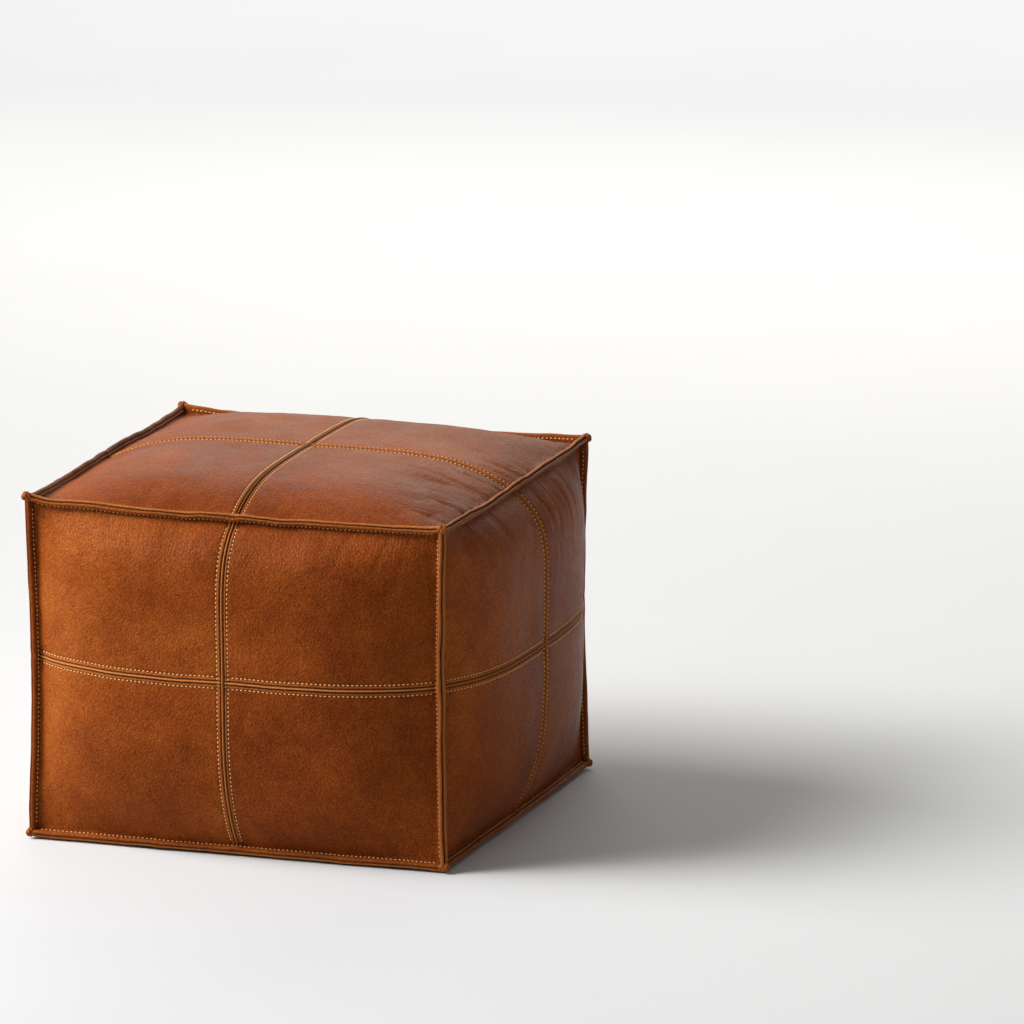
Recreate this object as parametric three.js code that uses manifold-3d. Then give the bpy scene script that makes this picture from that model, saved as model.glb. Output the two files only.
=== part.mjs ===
// A square Moroccan leather pouf: a stuffed cube of twenty-two leather panels over a calico
// liner, with flanged edge seams all round and a zip across its underside.
//
// Millimetres, +Z up. The origin is on the ground under the middle of the pouf.
// -Y is the front, +X the right-hand side.

import * as THREE from 'three';
import { mergeVertices } from 'three/addons/utils/BufferGeometryUtils.js';
import Module from 'manifold-3d';

const wasm = await Module();
wasm.setup();

// ---- driving dimensions ----------------------------------------------------------------

const WIDTH = 500; // over the flange tips, and the same front to back
const HEIGHT = 398; // ground to the tips of the top flanges
const FLANGE_PROUD = 10; // how far a flange stands out, at 45 degrees from both faces
const FLANGE_THICK = 3.6; // two turned edges side by side
const FLANGE_ROOT = 1; // clear of the leather it is sewn to
const LEATHER = 1.8;
const SIDE_BULGE = 49; // each side swells this far beyond its own edges
const TOP_BULGE = 36;
const BULGE_POWER = 3; // 2 is a parabola, more is flatter in the middle
const BASE_EDGE_RISE = 10; // the underside curls up to meet the sides
const SEAM_SHARE = 0.53; // height of the cross seam as a share of the side
const GAP = 0.3; // between pieces that touch

const TAPE_WIDTH = 24; // cotton stay tape behind the cross seams
const TAPE_DEPTH = 2.4; // below the outer face of the leather
const TAPE_THICK = 0.8;
const LINER_DEPTH = 4.6;
const LINER_THICK = 0.8;
const FIBRE_DEPTH = 10;

const FOAM_WIDTH = 410;
const FOAM_BOTTOM = 17;
const FOAM_HEIGHT = 300;
const TOPPER_HEIGHT = 60;

// zip
const ZIP_Z = 9; // middle of the coil, above the ground
const ZIP_HALF_GAP = 6.5; // from the middle to the turned edge of each base panel
const ZIP_SLOPE = 22; // the leather climbs to the zip over this distance
const CHAIN_LENGTH = 430;
const COIL_WIDTH = 2.6;
const COIL_THICK = 1.9;
const CHAIN_GAP = 1; // between the two coil rows
const ZIP_TAPE_WIDTH = 15;
const ZIP_TAPE_THICK = 0.6;
const SLIDER_LENGTH = 11;
const SLIDER_WIDTH = 9;
const SLIDER_PLATE = 1.1;
const SLIDER_POST = 0.5;
const BAIL_GAP = 1.7; // the room that the pull tab's end bar turns in
const BAIL_BAR = 1.2;
const TAB_LENGTH = 26;
const TAB_WIDTH = 6;
const TAB_THICK = 1;
const STOP_LENGTH = 3;

// ---- places worked out from them -------------------------------------------------------

const PROUD_EACH_WAY = FLANGE_PROUD / Math.SQRT2;
const HALF = WIDTH / 2 - PROUD_EACH_WAY; // middle to the seam along each vertical edge
const TOP_Z = HEIGHT - PROUD_EACH_WAY;
const BASE_Z = BASE_EDGE_RISE;
const MIDDLE_Z = (TOP_Z + BASE_Z) / 2;
const SEAM_Z = BASE_Z + SEAM_SHARE * (TOP_Z - BASE_Z);
const LINER_BASE_Z = BASE_Z + LINER_DEPTH;
const FOAM_TOP = FOAM_BOTTOM + FOAM_HEIGHT;
const TOPPER_TOP = FOAM_TOP + 1 + TOPPER_HEIGHT;

// ---- materials -------------------------------------------------------------------------

function material(color, roughness, metalness = 0) {
  return new THREE.MeshStandardMaterial({ color, roughness, metalness });
}

const LOOKS = {
  leather: () => material(0x9a5527, 0.45),
  leatherEdge: () => material(0x7d4219, 0.5),
  cotton: () => material(0xd8cdb6, 0.9),
  calico: () => material(0xe6dcc6, 0.9),
  foam: () => material(0xece3c4, 0.95),
  fibre: () => material(0xf4f2ec, 1),
  zipTape: () => material(0x4a2a14, 0.85),
  zipCoil: () => material(0x3a2213, 0.5),
  brass: () => material(0xb08a45, 0.35, 1),
};

const pouf = new THREE.Group();

function addPiece(name, geometry, look) {
  const piece = new THREE.Mesh(geometry, LOOKS[look]());
  piece.name = name;
  pouf.add(piece);
  return piece;
}

// ---- faces of the stuffed cube ---------------------------------------------------------

// Swelling of a face at the shares u, v from its middle (0) to its edges (-1 and 1).
function swell(u, v, height) {
  const across = 1 - Math.abs(u) ** BULGE_POWER;
  const along = 1 - Math.abs(v) ** BULGE_POWER;
  return height * across * along;
}

// Each side is drawn looking at it from outside: right, then up, then out of the face.
const SIDES = {
  front: [[1, 0, 0], [0, 0, 1], [0, -1, 0]],
  right: [[0, 1, 0], [0, 0, 1], [1, 0, 0]],
  back: [[-1, 0, 0], [0, 0, 1], [0, 1, 0]],
  left: [[0, -1, 0], [0, 0, 1], [-1, 0, 0]],
};

// Point of a side at a mm to the right of its middle and z up, depth below the outer face.
function sidePoint(side, a, z, depth) {
  const [right, , out] = SIDES[side];
  const half = HALF - depth;
  const bottom = BASE_Z + depth;
  const top = TOP_Z - depth;
  const v = (2 * z - top - bottom) / (top - bottom);
  const reach = half + swell(a / half, v, SIDE_BULGE);
  return new THREE.Vector3(right[0] * a + out[0] * reach, right[1] * a + out[1] * reach, z);
}

function topPoint(x, y, depth) {
  const half = HALF - depth;
  return new THREE.Vector3(x, y, TOP_Z - depth + swell(x / half, y / half, TOP_BULGE));
}

// A thin closed sheet: columns and rows are lists of shares, and place(column, row, inner)
// gives each corner, with inner 0 on the outer face and 1 on the inner face.
function sheet(columns, rows, place) {
  const geometry = new THREE.BoxGeometry(1, 1, 1, columns.length - 1, rows.length - 1, 1);
  const position = geometry.attributes.position;
  for (let i = 0; i < position.count; i += 1) {
    const column = Math.round((position.getX(i) + 0.5) * (columns.length - 1));
    const row = Math.round((position.getY(i) + 0.5) * (rows.length - 1));
    const inner = position.getZ(i) > 0 ? 0 : 1;
    const point = place(columns[column], rows[row], inner);
    position.setXYZ(i, point.x, point.y, point.z);
  }
  matchDiagonals(geometry);
  geometry.computeVertexNormals();
  return geometry;
}

// Splits the inner face's cells along the same diagonal as the outer face's, so that the
// sheet keeps its thickness where it is bent both ways.
function matchDiagonals(geometry) {
  const { start, count } = geometry.groups[5];
  for (let i = start; i < start + count; i += 6) {
    const [a, b, d, , c] = geometry.index.array.slice(i, i + 6);
    geometry.index.array.set([a, b, c, a, c, d], i);
  }
}

function evenShares(from, to, steps) {
  return Array.from({ length: steps + 1 }, (_, i) => from + ((to - from) * i) / steps);
}

// Shares from the middle (0) to an edge (1), closer together towards the edge.
const HALF_STEPS = 5;
const TOWARDS_EDGE = evenShares(0, Math.PI / 2, HALF_STEPS).map((angle) => Math.sin(angle));
const FROM_EDGE = TOWARDS_EDGE.map((share) => -share).reverse();
const WHOLE = [...FROM_EDGE.slice(0, -1), ...TOWARDS_EDGE];

// Millimetres across a face for the share u, kept a gap short of its edges and seams.
function across(u, depth, seamGap) {
  const half = HALF - depth;
  const a = u * half;
  if (Math.abs(u) === 1) return a - Math.sign(u) * GAP;
  return u === 0 ? seamGap : a;
}

// Height on a side for the share v: -1 at the bottom edge, 0 at the cross seam, 1 at the top.
function height(v, depth, seamGap) {
  if (v === 0) return SEAM_Z + seamGap;
  const edge = v > 0 ? TOP_Z - depth : BASE_Z + depth;
  const z = SEAM_Z + Math.abs(v) * (edge - SEAM_Z);
  return Math.abs(v) === 1 ? z - Math.sign(v) * GAP : z;
}

const SIGNS = { left: -1, right: 1, lower: -1, upper: 1, front: -1, back: 1 };

function halfShares(sign) {
  return sign > 0 ? TOWARDS_EDGE : FROM_EDGE;
}

// ---- leather panels --------------------------------------------------------------------

for (const side of Object.keys(SIDES)) {
  for (const level of ['lower', 'upper']) {
    for (const hand of ['left', 'right']) {
      const columnSign = SIGNS[hand];
      const rowSign = SIGNS[level];
      const geometry = sheet(halfShares(columnSign), halfShares(rowSign), (u, v, inner) => {
        const depth = inner * LEATHER;
        const a = across(u, depth, (columnSign * GAP) / 2);
        return sidePoint(side, a, height(v, depth, (rowSign * GAP) / 2), depth);
      });
      addPiece(`${side}_panel_${level}_${hand}`, geometry, 'leather');
    }
  }
}

for (const rank of ['front', 'back']) {
  for (const hand of ['left', 'right']) {
    const columnSign = SIGNS[hand];
    const rowSign = SIGNS[rank];
    const geometry = sheet(halfShares(columnSign), halfShares(rowSign), (u, v, inner) => {
      const depth = inner * LEATHER;
      const x = across(u, depth, (columnSign * GAP) / 2);
      const y = across(v, depth, (rowSign * GAP) / 2);
      return topPoint(x, y, depth);
    });
    addPiece(`top_panel_${rank}_${hand}`, geometry, 'leather');
  }
}

// The base lies flat on the ground, curls up at its border and climbs to the zip.
const BORDER_START = 0.86; // share of the half width where the border starts to curl
const BORDER_MIDDLE = 0.93;

function baseHeight(x, y) {
  const border = Math.max(Math.abs(x), Math.abs(y)) / HALF;
  const curl = THREE.MathUtils.clamp((border - BORDER_START) / (1 - BORDER_START), 0, 1);
  const climb = THREE.MathUtils.clamp(1 - (Math.abs(y) - ZIP_HALF_GAP) / ZIP_SLOPE, 0, 1);
  const zipEdge = ZIP_Z - COIL_THICK / 2;
  return Math.max(BASE_Z * curl ** 1.5, zipEdge * climb);
}

const CLIMB_START = (ZIP_HALF_GAP + ZIP_SLOPE) / HALF; // share where it starts to climb
const BASE_COLUMNS = [-1, -BORDER_MIDDLE, -BORDER_START, -0.4, 0.4, BORDER_START, BORDER_MIDDLE, 1];
const BASE_ROWS = [0, CLIMB_START, 0.5, BORDER_START, BORDER_MIDDLE, 1];

for (const rank of ['front', 'back']) {
  const rowSign = SIGNS[rank];
  // seen from below, with right along +X, rows run upwards along -Y
  const rows = rowSign > 0 ? [...BASE_ROWS].reverse() : BASE_ROWS.map((row) => -row);
  const geometry = sheet(BASE_COLUMNS, rows, (u, v, inner) => {
    const depth = inner * LEATHER;
    const x = across(u, depth, 0);
    const y = across(v, depth, rowSign * ZIP_HALF_GAP);
    const outerX = u * HALF;
    const outerY = v === 0 ? ZIP_HALF_GAP : v * HALF;
    return new THREE.Vector3(x, y, baseHeight(outerX, outerY) + depth);
  });
  addPiece(`base_panel_${rank}`, geometry, 'leather');
}

// ---- edge flanges ----------------------------------------------------------------------

// The flange's section: far is 0 at its root and 1 at its tip, side is -1 or 1.
function flangeSection(far, side) {
  const reach = FLANGE_ROOT + far * (FLANGE_PROUD - FLANGE_ROOT);
  const out = (reach + (side * FLANGE_THICK) / 2) / Math.SQRT2;
  const up = (reach - (side * FLANGE_THICK) / 2) / Math.SQRT2;
  return [out, up];
}

const FLANGE_STEPS = 10;
const FLANGE_SHARES = evenShares(-1, 1, FLANGE_STEPS);

// Level flanges round the top (turned up) and round the base (turned down).
for (const [level, edgeZ, turn] of [['top', TOP_Z, 1], ['base', BASE_Z, -1]]) {
  for (const side of Object.keys(SIDES)) {
    const [right, , out] = SIDES[side];
    const geometry = sheet(FLANGE_SHARES, [0, 1], (u, far, inner) => {
      const [outwards, upwards] = flangeSection(far, (1 - 2 * inner) * turn);
      const reach = HALF + outwards;
      const a = u * (reach - GAP);
      const x = right[0] * a + out[0] * reach;
      const y = right[1] * a + out[1] * reach;
      return new THREE.Vector3(x, y, edgeZ + turn * upwards);
    });
    addPiece(`${level}_flange_${side}`, geometry, 'leatherEdge');
  }
}

// Upright flanges at the four corners, between the level ones.
const UPRIGHT_CLEARANCE = 3;
const uprightLow = BASE_Z + UPRIGHT_CLEARANCE;
const uprightHigh = TOP_Z - UPRIGHT_CLEARANCE;

for (const [rank, hand] of [['front', 'left'], ['front', 'right'], ['back', 'right'], ['back', 'left']]) {
  const length = uprightHigh - uprightLow;
  const width = FLANGE_PROUD - FLANGE_ROOT;
  const geometry = new THREE.BoxGeometry(width, FLANGE_THICK, length, 1, 1, FLANGE_STEPS);
  const piece = addPiece(`corner_flange_${rank}_${hand}`, geometry, 'leatherEdge');
  const corner = HALF + (FLANGE_ROOT + width / 2) / Math.SQRT2;
  piece.position.set(SIGNS[hand] * corner, SIGNS[rank] * corner, (uprightLow + uprightHigh) / 2);
  piece.rotation.z = Math.atan2(SIGNS[rank], SIGNS[hand]);
}

// ---- joining and cutting ---------------------------------------------------------------

function solidOf(geometry) {
  const bare = geometry.clone();
  bare.deleteAttribute('normal');
  bare.deleteAttribute('uv');
  const merged = mergeVertices(bare, 1e-4);
  return new wasm.Manifold(new wasm.Mesh({
    numProp: 3,
    vertProperties: new Float32Array(merged.attributes.position.array),
    triVerts: new Uint32Array(merged.index.array),
  }));
}

function geometryOf(solid) {
  const mesh = solid.getMesh();
  const geometry = new THREE.BufferGeometry();
  geometry.setAttribute('position', new THREE.BufferAttribute(mesh.vertProperties, 3));
  geometry.setIndex(new THREE.BufferAttribute(mesh.triVerts, 1));
  geometry.computeVertexNormals();
  return geometry;
}

function joined(geometries) {
  const solids = geometries.map(solidOf);
  return geometryOf(solids.reduce((whole, solid) => whole.add(solid)));
}

function block(sizeX, sizeY, sizeZ, x, y, z) {
  return new THREE.BoxGeometry(sizeX, sizeY, sizeZ).translate(x, y, z);
}

// ---- stay tapes ------------------------------------------------------------------------

const TAPE_END = 0.97; // the tapes stop short of the edge seams
const TAPE_SHARES = WHOLE.map((share) => share * TAPE_END);
const TAPE_LAP = 0.6; // the level tape lies this much deeper, over the upright one

// The level strip and the upright strip of one cross, joined where they pass.
function tapeCross(place) {
  const upright = sheet([-0.5, 0.5], TAPE_SHARES, (strip, along, inner) => (
    place(strip * TAPE_WIDTH, along, null, TAPE_DEPTH + inner * TAPE_THICK)));
  const level = sheet(TAPE_SHARES, [-0.5, 0.5], (along, strip, inner) => (
    place(null, along, strip * TAPE_WIDTH, TAPE_DEPTH + TAPE_LAP + inner * TAPE_THICK)));
  return joined([upright, level]);
}

for (const side of Object.keys(SIDES)) {
  const geometry = tapeCross((fromSeam, along, fromLevel, depth) => {
    if (fromLevel === null) return sidePoint(side, fromSeam, height(along, depth, 0), depth);
    return sidePoint(side, along * (HALF - depth), SEAM_Z + fromLevel, depth);
  });
  addPiece(`stay_tape_${side}`, geometry, 'cotton');
}

addPiece('stay_tape_top', tapeCross((fromSeam, along, fromLevel, depth) => {
  if (fromLevel === null) return topPoint(fromSeam, along * (HALF - depth), depth);
  return topPoint(along * (HALF - depth), fromLevel, depth);
}), 'cotton');

// ---- liner bag -------------------------------------------------------------------------

for (const side of Object.keys(SIDES)) {
  const geometry = sheet(WHOLE, WHOLE, (u, v, inner) => {
    const depth = LINER_DEPTH + inner * LINER_THICK;
    return sidePoint(side, across(u, depth, 0), height(v, depth, 0), depth);
  });
  addPiece(`liner_${side}`, geometry, 'calico');
}

addPiece('liner_top', sheet(WHOLE, WHOLE, (u, v, inner) => {
  const depth = LINER_DEPTH + inner * LINER_THICK;
  return topPoint(across(u, depth, 0), across(v, depth, 0), depth);
}), 'calico');

const linerHalf = HALF - LINER_DEPTH - LINER_THICK - GAP;
addPiece('liner_base', block(
  2 * linerHalf, 2 * linerHalf, LINER_THICK, 0, 0, LINER_BASE_Z + LINER_THICK / 2,
), 'calico');

// ---- filling ---------------------------------------------------------------------------

const FOAM_MIDDLE = FOAM_BOTTOM + FOAM_HEIGHT / 2;
addPiece('foam_core', block(FOAM_WIDTH, FOAM_WIDTH, FOAM_HEIGHT, 0, 0, FOAM_MIDDLE), 'foam');
addPiece('foam_topper', block(
  FOAM_WIDTH, FOAM_WIDTH, TOPPER_HEIGHT, 0, 0, TOPPER_TOP - TOPPER_HEIGHT / 2,
), 'foam');

// The fibre wrap fills the swell of the sides round the foam.
const fibreHalf = HALF - FIBRE_DEPTH;
const fibreLow = FOAM_BOTTOM;
const fibreHigh = TOPPER_TOP;
const fibreBody = new THREE.BoxGeometry(2, 2, 2, 8, 8, 8);
const fibreVertices = fibreBody.attributes.position;
for (let i = 0; i < fibreVertices.count; i += 1) {
  const [u, v, w] = [fibreVertices.getX(i), fibreVertices.getY(i), fibreVertices.getZ(i)];
  const z = (fibreLow + fibreHigh) / 2 + (w * (fibreHigh - fibreLow)) / 2;
  const level = (z - MIDDLE_Z) / ((TOP_Z - BASE_Z) / 2 - FIBRE_DEPTH);
  const reachX = fibreHalf + swell(v, Math.min(level, 1), SIDE_BULGE);
  const reachY = fibreHalf + swell(u, Math.min(level, 1), SIDE_BULGE);
  fibreVertices.setXYZ(i, u * reachX, v * reachY, z);
}
const foamHole = block(FOAM_WIDTH + 2, FOAM_WIDTH + 2, 2 * HEIGHT, 0, 0, MIDDLE_Z);
addPiece('fibre_wrap', geometryOf(solidOf(fibreBody).subtract(solidOf(foamHole))), 'fibre');

addPiece('fibre_top_pad', sheet(WHOLE, WHOLE, (u, v, inner) => {
  if (inner === 1) return new THREE.Vector3(u * fibreHalf, v * fibreHalf, TOPPER_TOP + 1);
  return new THREE.Vector3(
    u * fibreHalf, v * fibreHalf, TOPPER_TOP + 4 + swell(u, v, TOP_BULGE - 2),
  );
}), 'fibre');

// ---- zip -------------------------------------------------------------------------------

const coilTop = ZIP_Z + COIL_THICK / 2;
const tapeMiddle = coilTop + GAP + ZIP_TAPE_THICK / 2;
const tapeLength = 2 * BORDER_MIDDLE * HALF;

for (const rank of ['front', 'back']) {
  const sign = SIGNS[rank];
  const coilY = sign * (CHAIN_GAP / 2 + COIL_WIDTH / 2);
  addPiece(`zip_coil_${rank}`, block(
    CHAIN_LENGTH, COIL_WIDTH, COIL_THICK, 0, coilY, ZIP_Z,
  ), 'zipCoil');
  const tapeY = sign * (CHAIN_GAP / 2 + ZIP_TAPE_WIDTH / 2);
  addPiece(`zip_tape_${rank}`, block(
    tapeLength, ZIP_TAPE_WIDTH, ZIP_TAPE_THICK, 0, tapeY, tapeMiddle,
  ), 'zipTape');
  // a small clip on each coil row keeps the slider from running off the closed end
  addPiece(`zip_top_stop_${rank}`, block(
    STOP_LENGTH, COIL_WIDTH, COIL_THICK + 0.6,
    CHAIN_LENGTH / 2 + GAP + STOP_LENGTH / 2, coilY, ZIP_Z,
  ), 'brass');
}

addPiece('zip_bottom_stop', block(
  STOP_LENGTH, CHAIN_GAP + 2 * COIL_WIDTH, COIL_THICK + 0.6,
  -CHAIN_LENGTH / 2 - GAP - STOP_LENGTH / 2, 0, ZIP_Z,
), 'brass');

// The slider: one plate under the coils with rims, one above the tapes, a post through the
// gap between the rows, and a bail under the lower plate for the pull tab.
const SLIDER_CLEARANCE = 0.4;
const SLIDER_INSET = 3; // from the end of the chain to the end of the slider, zip closed
const sliderX = CHAIN_LENGTH / 2 - SLIDER_INSET - SLIDER_LENGTH / 2;
const lowerPlateTop = ZIP_Z - COIL_THICK / 2 - SLIDER_CLEARANCE;
const lowerPlateBottom = lowerPlateTop - SLIDER_PLATE;
const upperPlateBottom = tapeMiddle + ZIP_TAPE_THICK / 2 + SLIDER_CLEARANCE;
const rimWidth = 1;
const rimHeight = 1.6;
const postHeight = upperPlateBottom - lowerPlateTop;
const bailBottom = lowerPlateBottom - BAIL_GAP - BAIL_BAR;
const bailHeight = lowerPlateBottom - bailBottom;
const bailLength = 8.4;
const bailWidth = 1.6;
const bailLeg = 1.2;
const rimY = SLIDER_WIDTH / 2 - rimWidth / 2;
const OVERLAP = 0.1; // so that joined solids share some volume

const sliderParts = [
  block(SLIDER_LENGTH, SLIDER_WIDTH, SLIDER_PLATE, 0, 0, lowerPlateBottom + SLIDER_PLATE / 2),
  block(SLIDER_LENGTH - 2, SLIDER_WIDTH - 1, SLIDER_PLATE, 0, 0, upperPlateBottom + SLIDER_PLATE / 2),
  block(2, SLIDER_POST, postHeight + 2 * OVERLAP, 3, 0, lowerPlateTop + postHeight / 2),
  block(bailLength, bailWidth, BAIL_BAR, 0, 0, bailBottom + BAIL_BAR / 2),
];
for (const sign of [-1, 1]) {
  sliderParts.push(block(
    SLIDER_LENGTH, rimWidth, rimHeight + OVERLAP,
    0, sign * rimY, lowerPlateTop + (rimHeight - OVERLAP) / 2,
  ));
  sliderParts.push(block(
    bailLeg, bailWidth, bailHeight + OVERLAP,
    (sign * (bailLength - bailLeg)) / 2, 0, bailBottom + (bailHeight + OVERLAP) / 2,
  ));
}
const slider = addPiece('zip_slider', joined(sliderParts), 'brass');
slider.position.x = sliderX;

// The pull tab hangs from the bail by an end bar and rests with its far end on the ground.
const hingeZ = lowerPlateBottom - BAIL_GAP / 2;
const TAB_GROUND_GAP = 0.1;
const tabReach = TAB_LENGTH - TAB_THICK / 2;
const tabDroop = Math.asin((hingeZ - TAB_THICK / 2 - TAB_GROUND_GAP) / tabReach);
const eyeLength = 9;
const railWidth = 1.4;
const tabOutline = new THREE.Shape();
tabOutline.moveTo(TAB_THICK / 2, -TAB_WIDTH / 2);
tabOutline.lineTo(TAB_THICK / 2, TAB_WIDTH / 2);
tabOutline.lineTo(-tabReach + TAB_WIDTH / 2, TAB_WIDTH / 2);
tabOutline.absarc(-tabReach + TAB_WIDTH / 2, 0, TAB_WIDTH / 2, Math.PI / 2, 1.5 * Math.PI, false);
const eye = new THREE.Path();
eye.moveTo(-TAB_THICK / 2, -TAB_WIDTH / 2 + railWidth);
eye.lineTo(-eyeLength, -TAB_WIDTH / 2 + railWidth);
eye.lineTo(-eyeLength, TAB_WIDTH / 2 - railWidth);
eye.lineTo(-TAB_THICK / 2, TAB_WIDTH / 2 - railWidth);
tabOutline.holes.push(eye);
const tabGeometry = new THREE.ExtrudeGeometry(tabOutline, {
  depth: TAB_THICK, bevelEnabled: false, curveSegments: 8,
});
tabGeometry.translate(0, 0, -TAB_THICK / 2);
const tab = addPiece('zip_pull_tab', tabGeometry, 'brass');
tab.rotation.y = -tabDroop;
tab.position.set(sliderX, 0, hingeZ);

export default pouf;
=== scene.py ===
"""Looks of the square Moroccan leather pouf.

Every leather panel, edge flange, stitch, zip coil and inner layer is built in mesh code
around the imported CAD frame. Lengths are in metres; values in millimetres are times MM.
"""
import math

import bpy
import numpy as np
from mathutils import Euler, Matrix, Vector


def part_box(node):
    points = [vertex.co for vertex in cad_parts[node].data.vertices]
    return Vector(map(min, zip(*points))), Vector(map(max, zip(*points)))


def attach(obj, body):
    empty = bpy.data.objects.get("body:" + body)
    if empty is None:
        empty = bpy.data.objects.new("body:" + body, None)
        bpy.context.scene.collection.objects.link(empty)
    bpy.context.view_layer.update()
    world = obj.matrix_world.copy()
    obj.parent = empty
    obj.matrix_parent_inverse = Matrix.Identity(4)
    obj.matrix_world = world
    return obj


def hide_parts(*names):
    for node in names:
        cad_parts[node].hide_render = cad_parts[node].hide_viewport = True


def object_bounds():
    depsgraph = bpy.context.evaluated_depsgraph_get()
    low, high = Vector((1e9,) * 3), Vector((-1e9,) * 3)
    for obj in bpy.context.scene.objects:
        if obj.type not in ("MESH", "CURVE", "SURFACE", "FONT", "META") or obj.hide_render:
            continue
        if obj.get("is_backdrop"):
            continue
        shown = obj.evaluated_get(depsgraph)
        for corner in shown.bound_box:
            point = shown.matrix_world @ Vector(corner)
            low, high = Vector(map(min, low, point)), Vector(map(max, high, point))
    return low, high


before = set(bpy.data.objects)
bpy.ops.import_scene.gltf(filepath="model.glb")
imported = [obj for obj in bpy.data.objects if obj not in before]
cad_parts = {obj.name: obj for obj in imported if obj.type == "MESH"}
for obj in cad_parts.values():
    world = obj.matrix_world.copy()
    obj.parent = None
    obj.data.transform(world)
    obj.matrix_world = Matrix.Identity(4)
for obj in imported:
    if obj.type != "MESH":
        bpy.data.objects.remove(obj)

cad_low, cad_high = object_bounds()
MM = 0.001

# ---- places taken from the frame ---------------------------------------------------------

GAP = 0.3 * MM
LEATHER = 1.8 * MM
lower_low, lower_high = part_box("front_panel_lower_left")
upper_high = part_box("front_panel_upper_left")[1]
crown_low, crown_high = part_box("top_panel_front_left")
HALF = -crown_low[0] + GAP
BASE_Z = lower_low[2] - GAP
TOP_Z = upper_high[2] + GAP
SEAM_Z = lower_high[2] + GAP / 2
SIDE_SWELL = -lower_low[1] - HALF
TOP_SWELL = crown_high[2] - TOP_Z
RISE = TOP_Z - BASE_Z
SEAM_SHARE = (SEAM_Z - BASE_Z) / RISE

SIDES = {  # the way to the right along a side, seen from outside, and the way it faces
    "front": (np.array((1.0, 0, 0)), np.array((0, -1.0, 0))),
    "right": (np.array((0, 1.0, 0)), np.array((1.0, 0, 0))),
    "back": (np.array((-1.0, 0, 0)), np.array((0, 1.0, 0))),
    "left": (np.array((0, -1.0, 0)), np.array((-1.0, 0, 0))),
}
SWELL_SHARE = {"front": 1.03, "right": 0.94, "back": 1.0, "left": 0.97, "top": 0.92}
UP = np.array((0.0, 0.0, 1.0))


# ---- numbers -----------------------------------------------------------------------------

def smooth(low, high, x):
    """0 below low, 1 above high, an S curve between."""
    t = np.clip((x - low) / (high - low), 0, 1)
    return t * t * (3 - 2 * t)


def bell(x, middle, width):
    return np.exp(-(((x - middle) / width) ** 2))


def lattice(ix, iy, seed):
    """A repeatable number from -1 to 1 for each whole-number point. The products wrap round."""
    mixed = (ix * 374761393 + iy * 668265263 + seed * 974634777).astype(np.int64)
    mixed = (mixed ^ (mixed >> 13)) * 1274126177
    mixed = mixed ^ (mixed >> 16)
    return (mixed & 0xFFFF) / 32767.5 - 1


def noise(x, y, seed):
    """Smooth value noise from -1 to 1."""
    x, y = np.broadcast_arrays(np.asarray(x, float), np.asarray(y, float))
    ix, iy = np.floor(x).astype(np.int64), np.floor(y).astype(np.int64)
    fx, fy = x - ix, y - iy
    fx, fy = fx ** 3 * (fx * (fx * 6 - 15) + 10), fy ** 3 * (fy * (fy * 6 - 15) + 10)
    low = lattice(ix, iy, seed) * (1 - fx) + lattice(ix + 1, iy, seed) * fx
    high = lattice(ix, iy + 1, seed) * (1 - fx) + lattice(ix + 1, iy + 1, seed) * fx
    return low * (1 - fy) + high * fy


# ---- edge lines of the stuffed cube ------------------------------------------------------

EDGE_SEEDS = {name: 11 * i for i, name in enumerate(SIDES)}
CORNER_WAIST = 3.5 * MM  # the upright edges lean in by this at half height
TOP_BOW = 3.0 * MM  # the top edges bow out between the corners and sag,
TOP_SAG = {"front": 2.5 * MM, "right": 2.5 * MM, "back": 5.0 * MM, "left": 2.5 * MM}
BASE_BOW = 2.0 * MM
EARS = {  # while the corners stand up or drop: each side's left and right end
    "front": (2.4 * MM, 0.6 * MM),
    "right": (0.6 * MM, -3.0 * MM),
    "back": (-3.0 * MM, 0.0),
    "left": (0.0, 2.4 * MM),
}
EAR_SPREAD = 0.055  # as a share of half a side
WAVE = 1.1 * MM  # height of the hand-made unevenness


def corner_inset(w):
    return CORNER_WAIST * np.sin(np.pi * w) ** 1.3


def edge_wave(name, t, seed):
    """Hand-made unevenness along an edge, nothing at its ends."""
    wave = noise(t * 4, 0, EDGE_SEEDS[name] + seed) + 0.4 * noise(t * 13, 5, EDGE_SEEDS[name] + seed)
    return WAVE * wave * (1 - t ** 8)


def top_edge(name, t):
    """How far out and how far up the top edge lies from its straight line, at share t."""
    out = TOP_BOW * (1 - t ** 2) + edge_wave(name, t, 1)
    ear = np.where(t > 0, EARS[name][1], EARS[name][0]) * np.exp(-(1 - np.abs(t)) / EAR_SPREAD)
    rise = ear - TOP_SAG[name] * (1 - t ** 4) + edge_wave(name, t, 2)
    return out, rise


def base_edge(name, t):
    out = BASE_BOW * (1 - t ** 2) + 0.6 * edge_wave(name, t, 3)
    return out, 0.3 * edge_wave(name, t, 4)


# ---- stuffed faces -----------------------------------------------------------------------

SIDE_POWER = 3.5  # fullness across a side: 2 is a parabola
SHOULDER_POWER = 6.5  # fullness under the top edge
FOOT_POWER = 3.0  # fullness above the base edge
TOP_POWER = 4.6
HOLD = 5  # how quickly an edge's bends die away from it


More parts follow.
